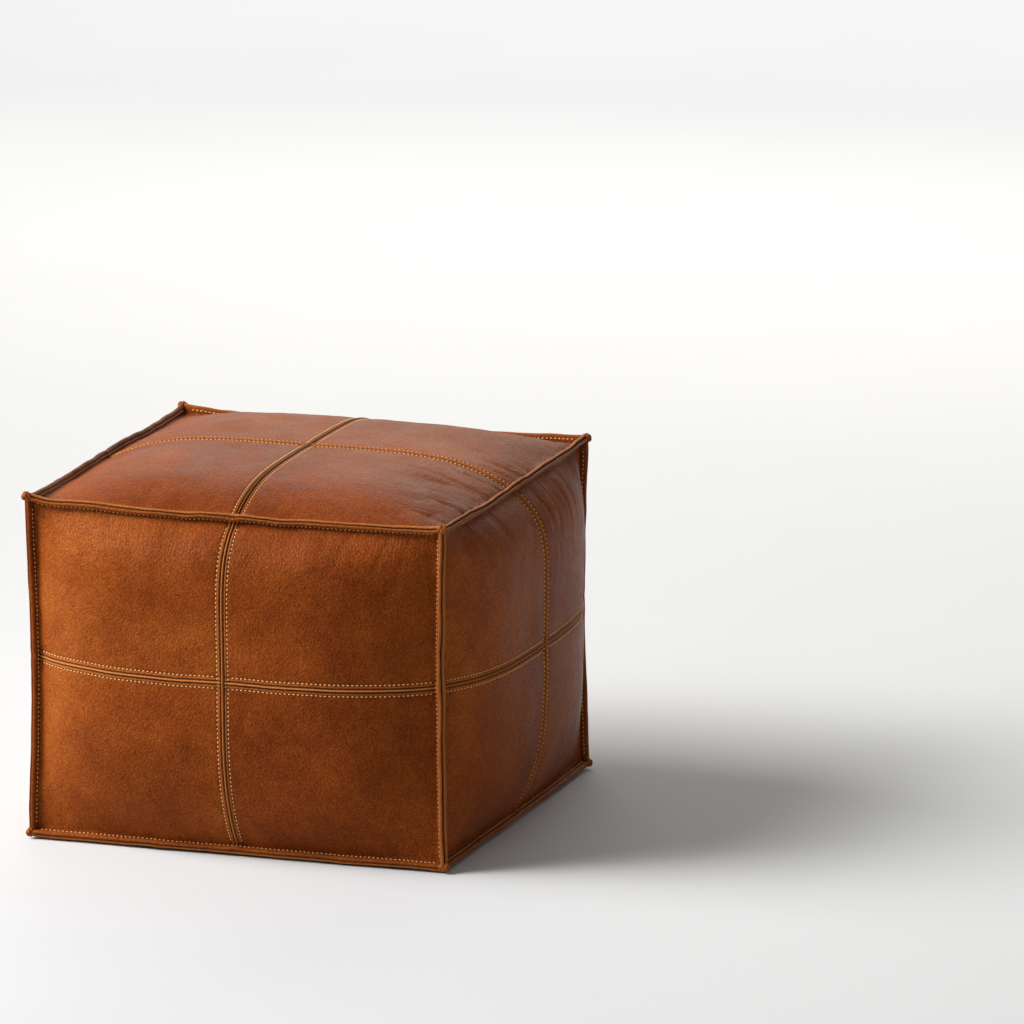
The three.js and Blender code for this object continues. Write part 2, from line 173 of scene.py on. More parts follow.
def side_point(name, u, w):
    """Point of a side at share u from its middle (-1 left to 1 right) and height share w."""
    right, out = SIDES[name]
    top_out, top_rise = top_edge(name, u)
    base_out, base_rise = base_edge(name, u)
    half = HALF - corner_inset(w)
    along = 2 * w - 1
    power = np.where(along > 0, SHOULDER_POWER, FOOT_POWER)
    full = (1 - np.abs(u) ** SIDE_POWER) * (1 - np.abs(along) ** power)
    reach = half + SIDE_SWELL * SWELL_SHARE[name] * full
    reach = reach + top_out * w ** HOLD + base_out * (1 - w) ** HOLD
    z = BASE_Z + base_rise * (1 - w) + (RISE + top_rise) * w
    return (u * half)[..., None] * right + reach[..., None] * out + z[..., None] * UP


def top_point(_, u, v):
    """Point of the top at shares u to the right and v to the back. Every face's function
    takes the face's name first; this one and the next have no use for it."""
    hold_u, hold_v = np.abs(u) ** HOLD, np.abs(v) ** HOLD
    side_u = np.where(u > 0, 1, -1)
    out_u = np.where(u > 0, top_edge("right", v)[0], top_edge("left", -v)[0])
    rise_u = np.where(u > 0, top_edge("right", v)[1], top_edge("left", -v)[1])
    side_v = np.where(v > 0, 1, -1)
    out_v = np.where(v > 0, top_edge("back", -u)[0], top_edge("front", u)[0])
    rise_v = np.where(v > 0, top_edge("back", -u)[1], top_edge("front", u)[1])
    x = u * HALF + side_u * out_u * hold_u
    y = v * HALF + side_v * out_v * hold_v
    ears = np.where(v > 0, np.where(u > 0, *EARS["back"]), np.where(u > 0, *EARS["front"][::-1]))
    rise = rise_u * hold_u + rise_v * hold_v - ears * hold_u * hold_v
    full = (1 - np.abs(u) ** TOP_POWER) * (1 - np.abs(v) ** TOP_POWER)
    z = TOP_Z + rise + TOP_SWELL * SWELL_SHARE["top"] * full
    return np.stack((x, y, z), -1)


ZIP_SLOPE = 22 * MM  # the leather climbs to the zip over this distance
BORDER_FROM = 0.84  # share of half a side where the underside starts to climb to its edges
zip_half_gap = -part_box("base_panel_front")[1][1]
zip_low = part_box("zip_coil_front")[0][2]


def base_point(_, u, v):
    """Point of the underside, drawn with right along X and up along -Y."""
    hold_u, hold_v = np.abs(u) ** HOLD, np.abs(v) ** HOLD
    out_u = np.where(u > 0, base_edge("right", -v)[0], base_edge("left", v)[0])
    rise_u = np.where(u > 0, base_edge("right", -v)[1], base_edge("left", v)[1])
    out_v = np.where(v > 0, base_edge("front", u)[0], base_edge("back", -u)[0])
    rise_v = np.where(v > 0, base_edge("front", u)[1], base_edge("back", -u)[1])
    x = u * HALF + np.where(u > 0, 1, -1) * out_u * hold_u
    y = -v * HALF - np.where(v > 0, 1, -1) * out_v * hold_v
    border = smooth(BORDER_FROM, 1.0, np.maximum(np.abs(u), np.abs(v)))
    climb = 1 - smooth(zip_half_gap, zip_half_gap + ZIP_SLOPE, np.abs(y))
    z = np.maximum(BASE_Z * border + rise_u * hold_u + rise_v * hold_v, zip_low * climb)
    return np.stack((x, y, z), -1)


FACES = {name: side_point for name in SIDES}
FACES["top"] = top_point
FACES["base"] = base_point


# ---- relief of the leather ---------------------------------------------------------------

STITCH_AWAY = 6.6 * MM  # from the middle of a cross seam to each row of thread
CREASE_REACH = 75 * MM  # how far the gathers run in from an edge


def seam_profile(d):
    """Height of the leather d away from the middle of a cross seam: a pinched ridge between
    two narrow grooves, a raised band over each turned edge, a shallow trough under the thread."""
    ridge = 1.6 * MM * bell(d, 0, 0.85 * MM)
    groove = -1.2 * MM * bell(d, 1.9 * MM, 0.75 * MM)
    band = 0.65 * MM * bell(d, 4.1 * MM, 1.3 * MM)
    trough = -0.65 * MM * bell(d, STITCH_AWAY, 1.1 * MM)
    pulled = -0.8 * MM * bell(d, 0, 15 * MM)
    return ridge + groove + band + trough + pulled


def creases(along, away, pitch, length, seed):
    """Depth from 0 to 1 of thin valleys that run in from an edge, each as long as it likes."""
    drift = 0.5 * noise(away / (0.6 * length), along / (6 * pitch), seed)
    line = np.abs(noise(along / pitch + drift, away / (1.5 * length), seed + 1))
    reach = length * (0.55 + 0.75 * (0.5 + 0.5 * noise(along / (2.3 * pitch), 7, seed + 2)))
    return bell(line, 0, 0.2) * (bell(away, 0, reach) * smooth(0, 5 * MM, away))


def gathers(along, away, seed):
    """Puckers that run in from an edge: fine creases and soft broad folds."""
    patchy = 0.35 + 0.65 * smooth(-0.5, 0.6, noise(along / 0.09, 3, seed + 2))
    fine = -0.55 * MM * creases(along, away, 9 * MM, 38 * MM, seed) * patchy
    broad = -1.1 * MM * creases(along, away, 25 * MM, 75 * MM, seed + 40) * (1.2 - 0.5 * patchy)
    swell = 1.0 * MM * noise(along / 0.034, away / 0.12, seed + 3)
    return fine + broad + swell * np.exp(-away / 0.06) * smooth(0, 10 * MM, away)


FACE_SEEDS = {name: 101 + 37 * i for i, name in enumerate(FACES)}
TENSION_ELSEWHERE = (1.0, 0.7, 0.8, 0.8)  # strength of the gathers: high, low, left, right edge
TENSION = {
    "front": (0.85, 0.4, 0.35, 0.6),
    "right": (1.2, 0.5, 0.8, 0.6),
    "top": (0.7, 0.6, 0.5, 2.2),
}


def face_distances(name, p, q):
    """Distances to the two cross seams and from the four edges, and places along the face."""
    across = p * HALF
    if name in SIDES:
        up, seam, low, high = q * RISE, SEAM_SHARE * RISE, q * RISE, (1 - q) * RISE
    else:
        up, seam, low, high = q * HALF, 0, (1 + q) * HALF, (1 - q) * HALF
    return across, up - seam, HALF + across, HALF - across, low, high


def relief(name, p, q):
    """How far the leather stands above the plain stuffed face."""
    seed = FACE_SEEDS[name]
    across, level, left, right, low, high = face_distances(name, p, q)
    soft = 0.9 * MM * noise(across / 0.085, level / 0.085, seed)
    soft = soft + 0.35 * MM * noise(across / 0.03, level / 0.034, seed + 5)
    if name == "base":
        return 0.25 * soft * smooth(0.0, 0.02, np.minimum(np.abs(level), 0.02))
    puckers = 0
    for along, away, share, number in (
        (across, high, 0, 10), (across, low, 1, 20), (level, left, 2, 30), (level, right, 3, 40),
    ):
        puckers = puckers + TENSION.get(name, TENSION_ELSEWHERE)[share] * gathers(along, away, seed + number)
    seams = seam_profile(np.abs(across))
    seams = seams + seam_profile(np.abs(level)) * smooth(1.2 * MM, 3.2 * MM, np.abs(across))
    calm = smooth(4 * MM, 30 * MM, np.minimum(np.abs(across), np.abs(level)))
    return seams + (soft + puckers) * (0.35 + 0.65 * calm)


STEP = 2e-3  # share of a face that its slope is measured over


def face_normal(name, p, q):
    point = FACES[name]
    here = np.clip(p, -1 + STEP, 1 - STEP)
    low = 0 if name in SIDES else -1
    there = np.clip(q, low + STEP, 1 - STEP)
    along = point(name, here + STEP, there) - point(name, here - STEP, there)
    up = point(name, here, there + STEP) - point(name, here, there - STEP)
    normal = np.cross(along, up)
    return normal / np.linalg.norm(normal, axis=-1, keepdims=True)


PULL = 2.4 * MM  # the leather turns out into the flange by this
PULL_REACH = 5 * MM
HALF_PINCH = 1.3 * MM  # from the middle of the flange to the face of the leather


def edge_frames(name):
    """For the four edges of a face: the way its flange stands, the way from the flange's
    middle to this face's side of it, and the way the face looks."""
    if name in SIDES:
        (right, out), up = SIDES[name], UP
    elif name == "top":
        right, out, up = np.array((1.0, 0, 0)), UP, np.array((0, 1.0, 0))
    else:
        right, out, up = np.array((1.0, 0, 0)), -UP, np.array((0, -1.0, 0))
    ways = (-right, right, -up, up)
    return [((out + way) / math.sqrt(2), (out - way) / math.sqrt(2), out) for way in ways]


def skin(name, p, q, raised=0.0):
    """Outer face of the leather, raised by a height along its normal."""
    point = FACES[name](name, p, q)
    normal = face_normal(name, p, q)
    point = point + normal * (relief(name, p, q) + raised)[..., None]
    distances = face_distances(name, p, q)[2:]
    near = [np.clip(1 - away / PULL_REACH, 0, 1) ** 2 for away in distances]
    corner = np.maximum(near[0], near[1]) * np.maximum(near[2], near[3])
    for share, (stand, beside, out) in zip(near, edge_frames(name)):
        pinch = share * (1 - corner) * HALF_PINCH
        point = point + (share * PULL)[..., None] * stand + pinch[..., None] * beside
    return point - (corner * PULL / math.sqrt(2))[..., None] * out, normal


# ---- meshes ------------------------------------------------------------------------------

def make_object(name, points, faces, material, smooth_faces=True, values=None):
    mesh = bpy.data.meshes.new(name)
    mesh.from_pydata([tuple(p) for p in points], [], [tuple(f) for f in faces])
    mesh.validate()
    if smooth_faces is not False:
        flags = smooth_faces if smooth_faces is not True else [True] * len(mesh.polygons)
        mesh.polygons.foreach_set("use_smooth", flags)
    for key, numbers in (values or {}).items():
        layer = mesh.attributes.new(key, "FLOAT", "POINT")
        layer.data.foreach_set("value", np.asarray(numbers, np.float32))
    mesh.update()
    piece = bpy.data.objects.new(name, mesh)
    bpy.context.scene.collection.objects.link(piece)
    piece.data.materials.append(material)
    return piece


def sheet_mesh(outer, inner, kept=None):
    """Points, faces and smooth flags of a closed sheet between two grids of points. kept says
    which of the grid's squares are there."""
    rows, columns = outer.shape[:2]
    count = rows * columns
    index = np.arange(count).reshape(rows, columns)
    squares = np.stack((index[:-1, :-1], index[:-1, 1:], index[1:, 1:], index[1:, :-1]), -1)
    squares = squares[kept] if kept is not None else squares.reshape(-1, 4)
    faces = [tuple(s) for s in squares.tolist()]
    sides = {(s[i], s[(i + 1) % 4]) for s in faces for i in range(4)}
    border = sorted(side for side in sides if side[::-1] not in sides)
    faces += [tuple(k + count for k in s[::-1]) for s in faces]
    flags = [True] * len(faces) + [False] * len(border)
    faces += [(j, i, i + count, j + count) for i, j in border]
    points = np.concatenate((outer.reshape(-1, 3), inner.reshape(-1, 3)))
    if kept is None:
        return points, faces, flags
    used = np.unique(np.array(faces))
    place = np.full(len(points), -1)
    place[used] = np.arange(len(used))
    return points[used], [tuple(place[list(f)]) for f in faces], flags


def swept_faces(rows, columns, closed=False):
    """Faces of a closed section of so many columns swept through rows, with capped ends or
    joined up into a ring."""
    index = np.arange(rows * columns).reshape(rows, columns)
    low, high = (index, np.roll(index, -1, 0)) if closed else (index[:-1], index[1:])
    faces = np.stack((low, high, np.roll(high, -1, 1), np.roll(low, -1, 1)), -1)
    faces = faces.reshape(-1, 4).tolist()
    return faces if closed else faces + [index[0].tolist(), index[-1, ::-1].tolist()]


def joined_shells(shells):
    """Points and faces of one mesh from several."""
    points, faces, count = [], [], 0
    for shell_points, shell_faces in shells:
        points.append(shell_points)
        faces += [tuple(i + count for i in f) for f in shell_faces]
        count += len(shell_points)
    return np.concatenate(points), faces


def line_lengths(points):
    """Distance along a line of points to each of them."""
    steps = np.linalg.norm(np.diff(points, axis=0), axis=1)
    return np.concatenate(([0.0], np.cumsum(steps)))


def lines_from_seam(length, edge_step, middle_step):
    """Distances from a seam to an edge, close together at both ends."""
    near = [0.03, 0.5, 0.9, 1.3, 1.7, 2.1, 2.6, 3.3, 4.2, 5.2, 6.0, 6.6, 7.2, 8.2, 10, 12, 15]
    far = [8, 5, 3.6, 2.4, 1.4, 0.6, 0]
    near = [d * MM for d in near]
    far = [length - d * MM for d in far]
    middle_end = length - CREASE_REACH
    middle = np.linspace(near[-1], middle_end, max(2, round((middle_end - near[-1]) / middle_step)) + 1)
    edge = np.linspace(middle_end, far[0], round((far[0] - middle_end) / edge_step) + 1)
    return np.array([*near, *middle[1:], *edge[1:], *far[1:]])


# ---- materials ---------------------------------------------------------------------------

class Shader:
    """A small helper for building one material's nodes."""

    def __init__(self, name):
        self.material = bpy.data.materials.new(name)
        self.material.use_nodes = True
        self.tree = self.material.node_tree
        self.surface = self.tree.nodes["Principled BSDF"]
        self.coordinates = self.add("ShaderNodeTexCoord").outputs["Object"]

    def add(self, kind, inputs=None, **settings):
        node = self.tree.nodes.new(kind)
        for key, value in settings.items():
            setattr(node, key, value)
        for key, value in (inputs or {}).items():
            self.feed(node.inputs[key], value)
        return node

    def feed(self, socket, value):
        if isinstance(value, bpy.types.NodeSocket):
            self.tree.links.new(value, socket)
        else:
            socket.default_value = value

    def stretched(self, scale, turn=(0, 0, 0)):
        mapping = self.add("ShaderNodeMapping", {"Vector": self.coordinates})
        mapping.inputs["Scale"].default_value = scale
        mapping.inputs["Rotation"].default_value = turn
        return mapping.outputs["Vector"]

    def noise(self, scale, detail=3.0, rough=0.55, distortion=0.0, vector=None):
        node = self.add("ShaderNodeTexNoise", {
            "Vector": vector or self.coordinates, "Scale": scale, "Detail": detail,
            "Roughness": rough, "Distortion": distortion,
        })
        return node.outputs["Fac"]

    def cells(self, scale, feature="F1", vector=None):
        node = self.add("ShaderNodeTexVoronoi", {
            "Vector": vector or self.coordinates, "Scale": scale,
        }, feature=feature)
        return node.outputs["Distance"]

    def ramp(self, value, stops):
        node = self.add("ShaderNodeValToRGB", {"Fac": value})
        while len(node.color_ramp.elements) < len(stops):
            node.color_ramp.elements.new(0.5)
        for element, (place, color) in zip(node.color_ramp.elements, stops):
            element.position = place
            element.color = (*color, 1) if len(color) == 3 else color
        return node.outputs["Color"]

    def spread(self, value, low, high, out_low=0.0, out_high=1.0):
        node = self.add("ShaderNodeMapRange", {
            "Value": value, "From Min": low, "From Max": high,
            "To Min": out_low, "To Max": out_high,
        })
        return node.outputs["Result"]

    def math(self, operation, a, b=0.0):
        node = self.add("ShaderNodeMath", operation=operation)
        self.feed(node.inputs[0], a)
        self.feed(node.inputs[1], b)
        return node.outputs["Value"]

    def blend(self, share, a, b, mode="MIX"):
        node = self.add("ShaderNodeMix", data_type="RGBA", blend_type=mode)
        self.feed(node.inputs["Factor"], share)
        self.feed(node.inputs["A"], (*a, 1) if isinstance(a, tuple) else a)
        self.feed(node.inputs["B"], (*b, 1) if isinstance(b, tuple) else b)
        return node.outputs["Result"]

    def attribute(self, name):
        return self.add("ShaderNodeAttribute", attribute_name=name).outputs["Fac"]

    def bump(self, height, depth, under=None):
        inputs = {"Height": height, "Distance": depth, "Strength": 1.0}
        if under is not None:
            inputs["Normal"] = under
        return self.add("ShaderNodeBump", inputs).outputs["Normal"]

    def finish(self, color, roughness, normal=None, **fixed):
        self.feed(self.surface.inputs["Base Color"], color)
        self.feed(self.surface.inputs["Roughness"], roughness)
        if normal is not None:
            self.feed(self.surface.inputs["Normal"], normal)
        for key, value in fixed.items():
            name = key.replace("_", " ").title().replace("Ior", "IOR")
            self.surface.inputs[name].default_value = value
        return self.material


COGNAC_DARK = (0.130, 0.0250, 0.0038)
COGNAC = (0.194, 0.0410, 0.0056)
COGNAC_LIGHT = (0.275, 0.069, 0.0107)
WEAR_AND_HIGHLIGHT = (0.52, 0.20, 0.058)
GROOVE_PAINTED_SHADE = (0.035, 0.009, 0.003)


def leather_material(name, ridge_rub_and_highlight):
    """Pull-up leather: cloudy cognac colour, fine pebbled grain, pores, creases near the
    edges, light scuffs, painted shade in the grooves, and ridges made lighter by the share given second,
    partly rubbed and partly a painted highlight."""
    s = Shader(name)
    clouds = s.noise(6.5, 3, 0.55, 0.3)
    mottle = s.noise(28, 4, 0.6, 0.4)
    blotch = s.noise(110, 3, 0.6)
    tone = s.math("ADD", s.math("MULTIPLY", clouds, 0.5), s.math("MULTIPLY", mottle, 0.3))
    tone = s.math("ADD", tone, s.math("MULTIPLY", blotch, 0.2))
    # the tone attribute holds each panel's own tone, with painted light or shade added on some panels and on
    # the flanges
    tone = s.math("ADD", tone, s.math("MULTIPLY", s.attribute("tone"), 0.025))
    color = s.ramp(tone, [(0.33, COGNAC_DARK), (0.5, COGNAC), (0.68, COGNAC_LIGHT)])
    speckle = s.spread(s.noise(560, 2, 0.7), 0.36, 0.64)
    darker = s.blend(1.0, color, (0.66, 0.62, 0.58), "MULTIPLY")
    lighter = s.blend(1.0, color, (1.34, 1.41, 1.52), "MULTIPLY")
    color = s.blend(speckle, darker, lighter)
    scratch = s.noise(70, 2, 0.6, 0.6, s.stretched((1, 1, 0.06), (0.5, 0.3, 0.9)))
    other = s.noise(60, 2, 0.6, 0.6, s.stretched((1, 0.06, 1), (0.9, 0.2, 0.4)))
    scuffs = s.math("MAXIMUM", s.spread(scratch, 0.75, 0.78), s.spread(other, 0.75, 0.78))
    color = s.blend(s.math("MULTIPLY", scuffs, 0.2), color, WEAR_AND_HIGHLIGHT)
    # painted shade in the seam grooves, under the thread and along the panel's edges at the flanges
    color = s.blend(s.math("MULTIPLY", s.attribute("groove"), 0.8), color, GROOVE_PAINTED_SHADE)
    # ridges painted lighter: partly rubbed leather, partly a painted highlight
    color = s.blend(s.math("MULTIPLY", s.attribute("ridge"), ridge_rub_and_highlight), color, WEAR_AND_HIGHLIGHT)

    along, up = s.attribute("across"), s.attribute("level")
    crease = 0.0
    for a, b, strength in ((along, up, "creased_level"), (up, along, "creased_upright")):
        place = s.add("ShaderNodeCombineXYZ", {
            "X": a, "Y": s.math("MULTIPLY", b, 0.13), "Z": s.attribute("tone"),
        })
        lines = s.noise(150, 3, 0.6, 0.8, place.outputs["Vector"])
        lines = s.math("ABSOLUTE", s.math("SUBTRACT", lines, 0.5))
        depth = s.math("MULTIPLY", s.spread(lines, 0.0, 0.11), s.attribute(strength))
        crease = s.math("ADD", depth, crease)
    grain = s.cells(460, "SMOOTH_F1")
    pores = s.noise(1500, 2, 0.5)
    wrinkles = s.noise(170, 4, 0.62, 0.6)
    normal = s.bump(crease, 0.0007)
    normal = s.bump(wrinkles, 0.0006, normal)
    normal = s.bump(grain, 0.0007, normal)
    normal = s.bump(pores, 0.00008, normal)
    uneven = s.math("ADD", mottle, s.math("MULTIPLY", wrinkles, 0.5))
    roughness = s.spread(uneven, 0.55, 1.0, 0.34, 0.50)
    s.surface.inputs["Specular Tint"].default_value = (1.0, 0.72, 0.5, 1.0)
    return s.finish(color, roughness, normal, ior=1.45, specular_ior_level=0.06)


def woven_material(name, light, dark, threads, depth, roughness=0.85):
    """Plain weave: two crossing sets of waves, with uneven yarn."""
    s = Shader(name)
    uneven = s.noise(120, 3, 0.6)
    warp, weft = (s.add("ShaderNodeTexWave", {
        "Vector": s.coordinates, "Scale": threads, "Distortion": 0.6, "Detail": 1.0,
    }, bands_direction=way).outputs["Fac"] for way in ("X", "DIAGONAL"))
    weave = s.math("MAXIMUM", warp, weft)
    share = s.math("MULTIPLY", weave, s.spread(uneven, 0.3, 0.7, 0.7, 1.0))
    color = s.blend(share, dark, light)
    return s.finish(color, roughness, s.bump(weave, depth))


def foam_material(name, color, cell, depth):
    s = Shader(name)
    cells = s.cells(cell)
    shade = s.blend(s.spread(cells, 0.1, 0.6), tuple(0.82 * c for c in color), color)
    return s.finish(shade, 0.95, s.bump(cells, depth))


def thread_material(name):
    """Golden waxed thread with its twist."""
    s = Shader(name)
    twist = s.add("ShaderNodeTexWave", {
        "Vector": s.coordinates, "Scale": 420.0, "Distortion": 1.5,
    }, bands_direction="DIAGONAL").outputs["Fac"]
    uneven = s.noise(60, 2)
    light, dark = (0.95, 0.54, 0.22), (0.60, 0.29, 0.09)
    share = s.math("MULTIPLY", twist, s.spread(uneven, 0.3, 0.7, 0.6, 1.0))
    return s.finish(s.blend(share, dark, light), 0.7, s.bump(twist, 0.0001), specular_ior_level=0.1)


def metal_material(name, light, dark, roughness):
    s = Shader(name)
    patina = s.noise(260, 4, 0.6)
    brushed = s.noise(900, 2, 0.5, 0, s.stretched((0.05, 1, 1)))
    color = s.blend(s.spread(patina, 0.35, 0.7), dark, light)
    rough = s.spread(patina, 0.3, 0.7, roughness + 0.12, roughness)
    return s.finish(color, rough, s.bump(brushed, 0.00003), metallic=1.0)


def nylon_material(name, color):
    s = Shader(name)
    grain = s.noise(800, 2)
    shade = s.blend(grain, tuple(0.7 * c for c in color), color)
    return s.finish(shade, 0.42, s.bump(grain, 0.00003))


LEATHER_LOOK = leather_material("cognac_leather", 0.95)
EDGE_LOOK = leather_material("turned_leather_edge", 0.4)
THREAD_LOOK = thread_material("golden_thread")
COTTON_LOOK = woven_material("cotton_tape", (0.72, 0.66, 0.54), (0.45, 0.40, 0.31), 260, 0.0002)
CALICO_LOOK = woven_material("calico", (0.80, 0.74, 0.60), (0.55, 0.49, 0.37), 180, 0.0002)
FOAM_LOOK = foam_material("foam", (0.86, 0.78, 0.52), 420, 0.0006)
FIBRE_LOOK = foam_material("fibre", (0.90, 0.89, 0.86), 160, 0.0012)
ZIP_TAPE_LOOK = woven_material("zip_tape", (0.10, 0.045, 0.018), (0.035, 0.014, 0.006), 380, 0.0001)
COIL_LOOK = nylon_material("zip_coil", (0.05, 0.022, 0.009))
BRASS_LOOK = metal_material("brass", (0.72, 0.50, 0.20), (0.36, 0.21, 0.07), 0.25)


def place_piece(piece, slot, *nodes, body="cover"):
    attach(piece, body)
    if nodes:
        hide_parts(*nodes)


# ---- leather panels ----------------------------------------------------------------------

EDGE_STEP = 3.0 * MM  # between a panel's grid lines near the edges
MIDDLE_STEP = 3.8 * MM  # and in the middle
DRAWN_THICK = 0.8  # share of the leather's thickness that a panel is drawn with
RIDGE_PAINTED_HIGHLIGHT = {"top": 0.5, "right": 0.7}  # painted highlight: the seam ridges of these faces get this share of their lightening, for how the light falls on them
CREASE_FADE = 22 * MM  # hair creases die away from an edge over this distance


def groove_painted_shade(d):
    """Painted shade beside a cross seam's ridge and under its thread, d away from its middle."""
    return bell(np.abs(d), 2.0 * MM, 0.7 * MM) + 0.4 * bell(np.abs(d), STITCH_AWAY, 1.2 * MM)


def wear_values(name, p, q, tone):
    """What the leather material reads: ridges lighter, partly rubbed and partly a painted highlight,
    painted shade in the grooves and along the edges, a tone of the panel's own with painted light or shade on
    some panels, places along the face, and how creased the leather is near its edges."""
    across, level, left, right, low, high = face_distances(name, p, q)
    edge = np.minimum(np.minimum(left, right), np.minimum(low, high))
    values = {"tone": tone + 0 * p, "across": across, "level": level}
    if name == "base":
        ridge, groove = np.zeros_like(p), np.zeros_like(p)
    else:
        open_share = smooth(1.2 * MM, 3.2 * MM, np.abs(across))
        ridge = bell(across, 0, 0.9 * MM) + bell(level, 0, 0.9 * MM) * open_share
        ridge = ridge + 0.3 * bell(np.abs(across), 4.0 * MM, 1.0 * MM)
        ridge = ridge + 0.3 * bell(np.abs(level), 4.0 * MM, 1.0 * MM) * open_share
        groove = groove_painted_shade(across) + groove_painted_shade(level) * open_share
    values["ridge"] = np.clip(ridge * RIDGE_PAINTED_HIGHLIGHT.get(name, 1.0), 0, 1)
    # painted shade along the panel's edges where they turn into the flanges
    values["groove"] = np.clip(groove * 0.8 + np.exp(-edge / (1.8 * MM)) * 0.8, 0, 1)
    pull = TENSION.get(name, TENSION_ELSEWHERE)
    seed = FACE_SEEDS[name]
    patch = 0.3 + 0.7 * smooth(-0.4, 0.5, noise(across / 0.07, level / 0.07, seed + 70))
    fade = [p * np.exp(-d / CREASE_FADE) for p, d in zip(pull, (high, low, left, right))]
    values["creased_level"] = patch * (fade[0] + fade[1])
    values["creased_upright"] = patch * (fade[2] + fade[3])
    return {key: np.tile(v.ravel(), 2) for key, v in values.items()}


def leather_panel(node, name, p_lines, q_lines, tone):
    q, p = np.meshgrid(q_lines, p_lines, indexing="ij")
    outer, normal = skin(name, p, q)
    inner = outer - normal * LEATHER * DRAWN_THICK
    points, faces, flags = sheet_mesh(outer, inner)
    values = wear_values(name, p, q, tone)
    piece = make_object(node + "_leather", points, faces, LEATHER_LOOK, flags, values)
    place_piece(piece, "cognac_leather", node)


def share_lines(length, unit, origin, sign):
    """Shares along a face for the lines from its seam at origin to an edge."""
    shares = origin + sign * lines_from_seam(length, EDGE_STEP, MIDDLE_STEP) / unit
    return shares if sign > 0 else shares[::-1]


COLUMNS = {"left": share_lines(HALF, HALF, 0, -1), "right": share_lines(HALF, HALF, 0, 1)}
ROWS = {
    "lower": share_lines(SEAM_SHARE * RISE, RISE, SEAM_SHARE, -1),
    "upper": share_lines((1 - SEAM_SHARE) * RISE, RISE, SEAM_SHARE, 1),
}
tones = iter(np.random.default_rng(5).uniform(-1, 1, 22))  # one for each leather panel
PANEL_PAINTED_LIGHT_AND_SHADE = {  # painted light and shade: these panels are painted lighter or darker for how the light falls on them
    "front_panel_upper_left": 0.9, "front_panel_upper_right": -2.6,
    "front_panel_lower_left": 0.4, "front_panel_lower_right": -4.6,
    "top_panel_front_left": -2.8, "top_panel_front_right": -3.2, "top_panel_back_right": -0.8,
}


def panel_tone(node):
    drawn = next(tones)
    return PANEL_PAINTED_LIGHT_AND_SHADE.get(node, drawn)


for side in SIDES:
    for level, rows in ROWS.items():
        for hand, columns in COLUMNS.items():
            node = f"{side}_panel_{level}_{hand}"
            leather_panel(node, side, columns, rows, panel_tone(node))

for rank, rows in (("front", COLUMNS["left"]), ("back", COLUMNS["right"])):
    for hand, columns in COLUMNS.items():
        node = f"top_panel_{rank}_{hand}"
        leather_panel(node, "top", columns, rows, panel_tone(node))


# ---- thread ------------------------------------------------------------------------------

PITCH = 5.2 * MM
STITCH_LENGTH = 3.5 * MM
THREAD = 0.7 * MM  # radius
STITCH_RINGS = 5
STITCH_SIDES = 6
stitch_random = np.random.default_rng(21)


def stitches(points, normals):
    """Points and faces of a row of separate stitches lying along a line of points."""
    s = line_lengths(points)
    count = int((s[-1] - PITCH * 0.4) / PITCH)
    first = (s[-1] - count * PITCH) / 2
    middle = first + (np.arange(count) + 0.5) * PITCH
    share = np.linspace(-1, 1, STITCH_RINGS)
    length = STITCH_LENGTH * stitch_random.uniform(0.93, 1.05, count)
    where = middle[:, None] + share * length[:, None] / 2

    def along(values, at):
        return np.stack([np.interp(at, s, values[:, k]) for k in range(3)], -1)

    centre = along(points, where)
    normal = along(normals, where)
    normal /= np.linalg.norm(normal, axis=-1, keepdims=True)
    tangent = along(points, where + 0.5 * MM) - along(points, where - 0.5 * MM)
    tangent /= np.maximum(np.linalg.norm(tangent, axis=-1, keepdims=True), 1e-9)
    side = np.cross(normal, tangent)
    lift = THREAD * (0.75 - 1.9 * np.abs(share) ** 3)
    slant = stitch_random.normal(0, 0.09, count) * MM
    centre = centre + normal * lift[:, None] + side * (slant[:, None] * share)[..., None] * 2
    radius = THREAD * (1 - 0.25 * share ** 4)
    angle = np.arange(STITCH_SIDES) * 2 * np.pi / STITCH_SIDES
    ring = np.cos(angle)[:, None] * side[:, :, None] + np.sin(angle)[:, None] * normal[:, :, None]
    rings = centre[:, :, None] + ring * radius[:, None, None]
    start = np.arange(count) * STITCH_RINGS * STITCH_SIDES
    faces = []
    for k in range(STITCH_RINGS - 1):
        for j in range(STITCH_SIDES):
            a, b = k * STITCH_SIDES + j, k * STITCH_SIDES + (j + 1) % STITCH_SIDES
            square = (a, b, b + STITCH_SIDES, a + STITCH_SIDES)
            faces.append(np.stack([start + i for i in square], -1))
    faces = np.concatenate(faces).tolist()
    last = (STITCH_RINGS - 1) * STITCH_SIDES
    for cap in (range(STITCH_SIDES - 1, -1, -1), range(last, last + STITCH_SIDES)):
        faces += np.stack([start + i for i in cap], -1).tolist()
    return rings.reshape(-1, 3), faces


def thread_piece(name, rows):
    """One piece from several rows of stitches."""
    place_piece(make_object(name, *joined_shells(rows), THREAD_LOOK), "golden_thread")


EDGE_CLEAR = 3.5 * MM  # where a row of thread stops short of the flange
CROSS_CLEAR = 8.5 * MM  # and of the other cross seam's rows


def seam_rows(name):
    unit = RISE if name in SIDES else HALF
    middle = SEAM_SHARE if name in SIDES else 0
    low = 0 if name in SIDES else -1
    full = np.linspace(low + EDGE_CLEAR / unit, 1 - EDGE_CLEAR / unit, 300)
    half = np.linspace(CROSS_CLEAR / HALF, 1 - EDGE_CLEAR / HALF, 150)
    away = STITCH_AWAY
    for sign in (-1, 1):
        yield stitches(*skin(name, sign * away / HALF + 0 * full, full))
        for hand in (-1, 1):
            yield stitches(*skin(name, hand * half, middle + sign * away / unit + 0 * half))


for face in (*SIDES, "top"):
    thread_piece(face + "_seam_stitches", seam_rows(face))


# ---- edge flanges ------------------------------------------------------------------------

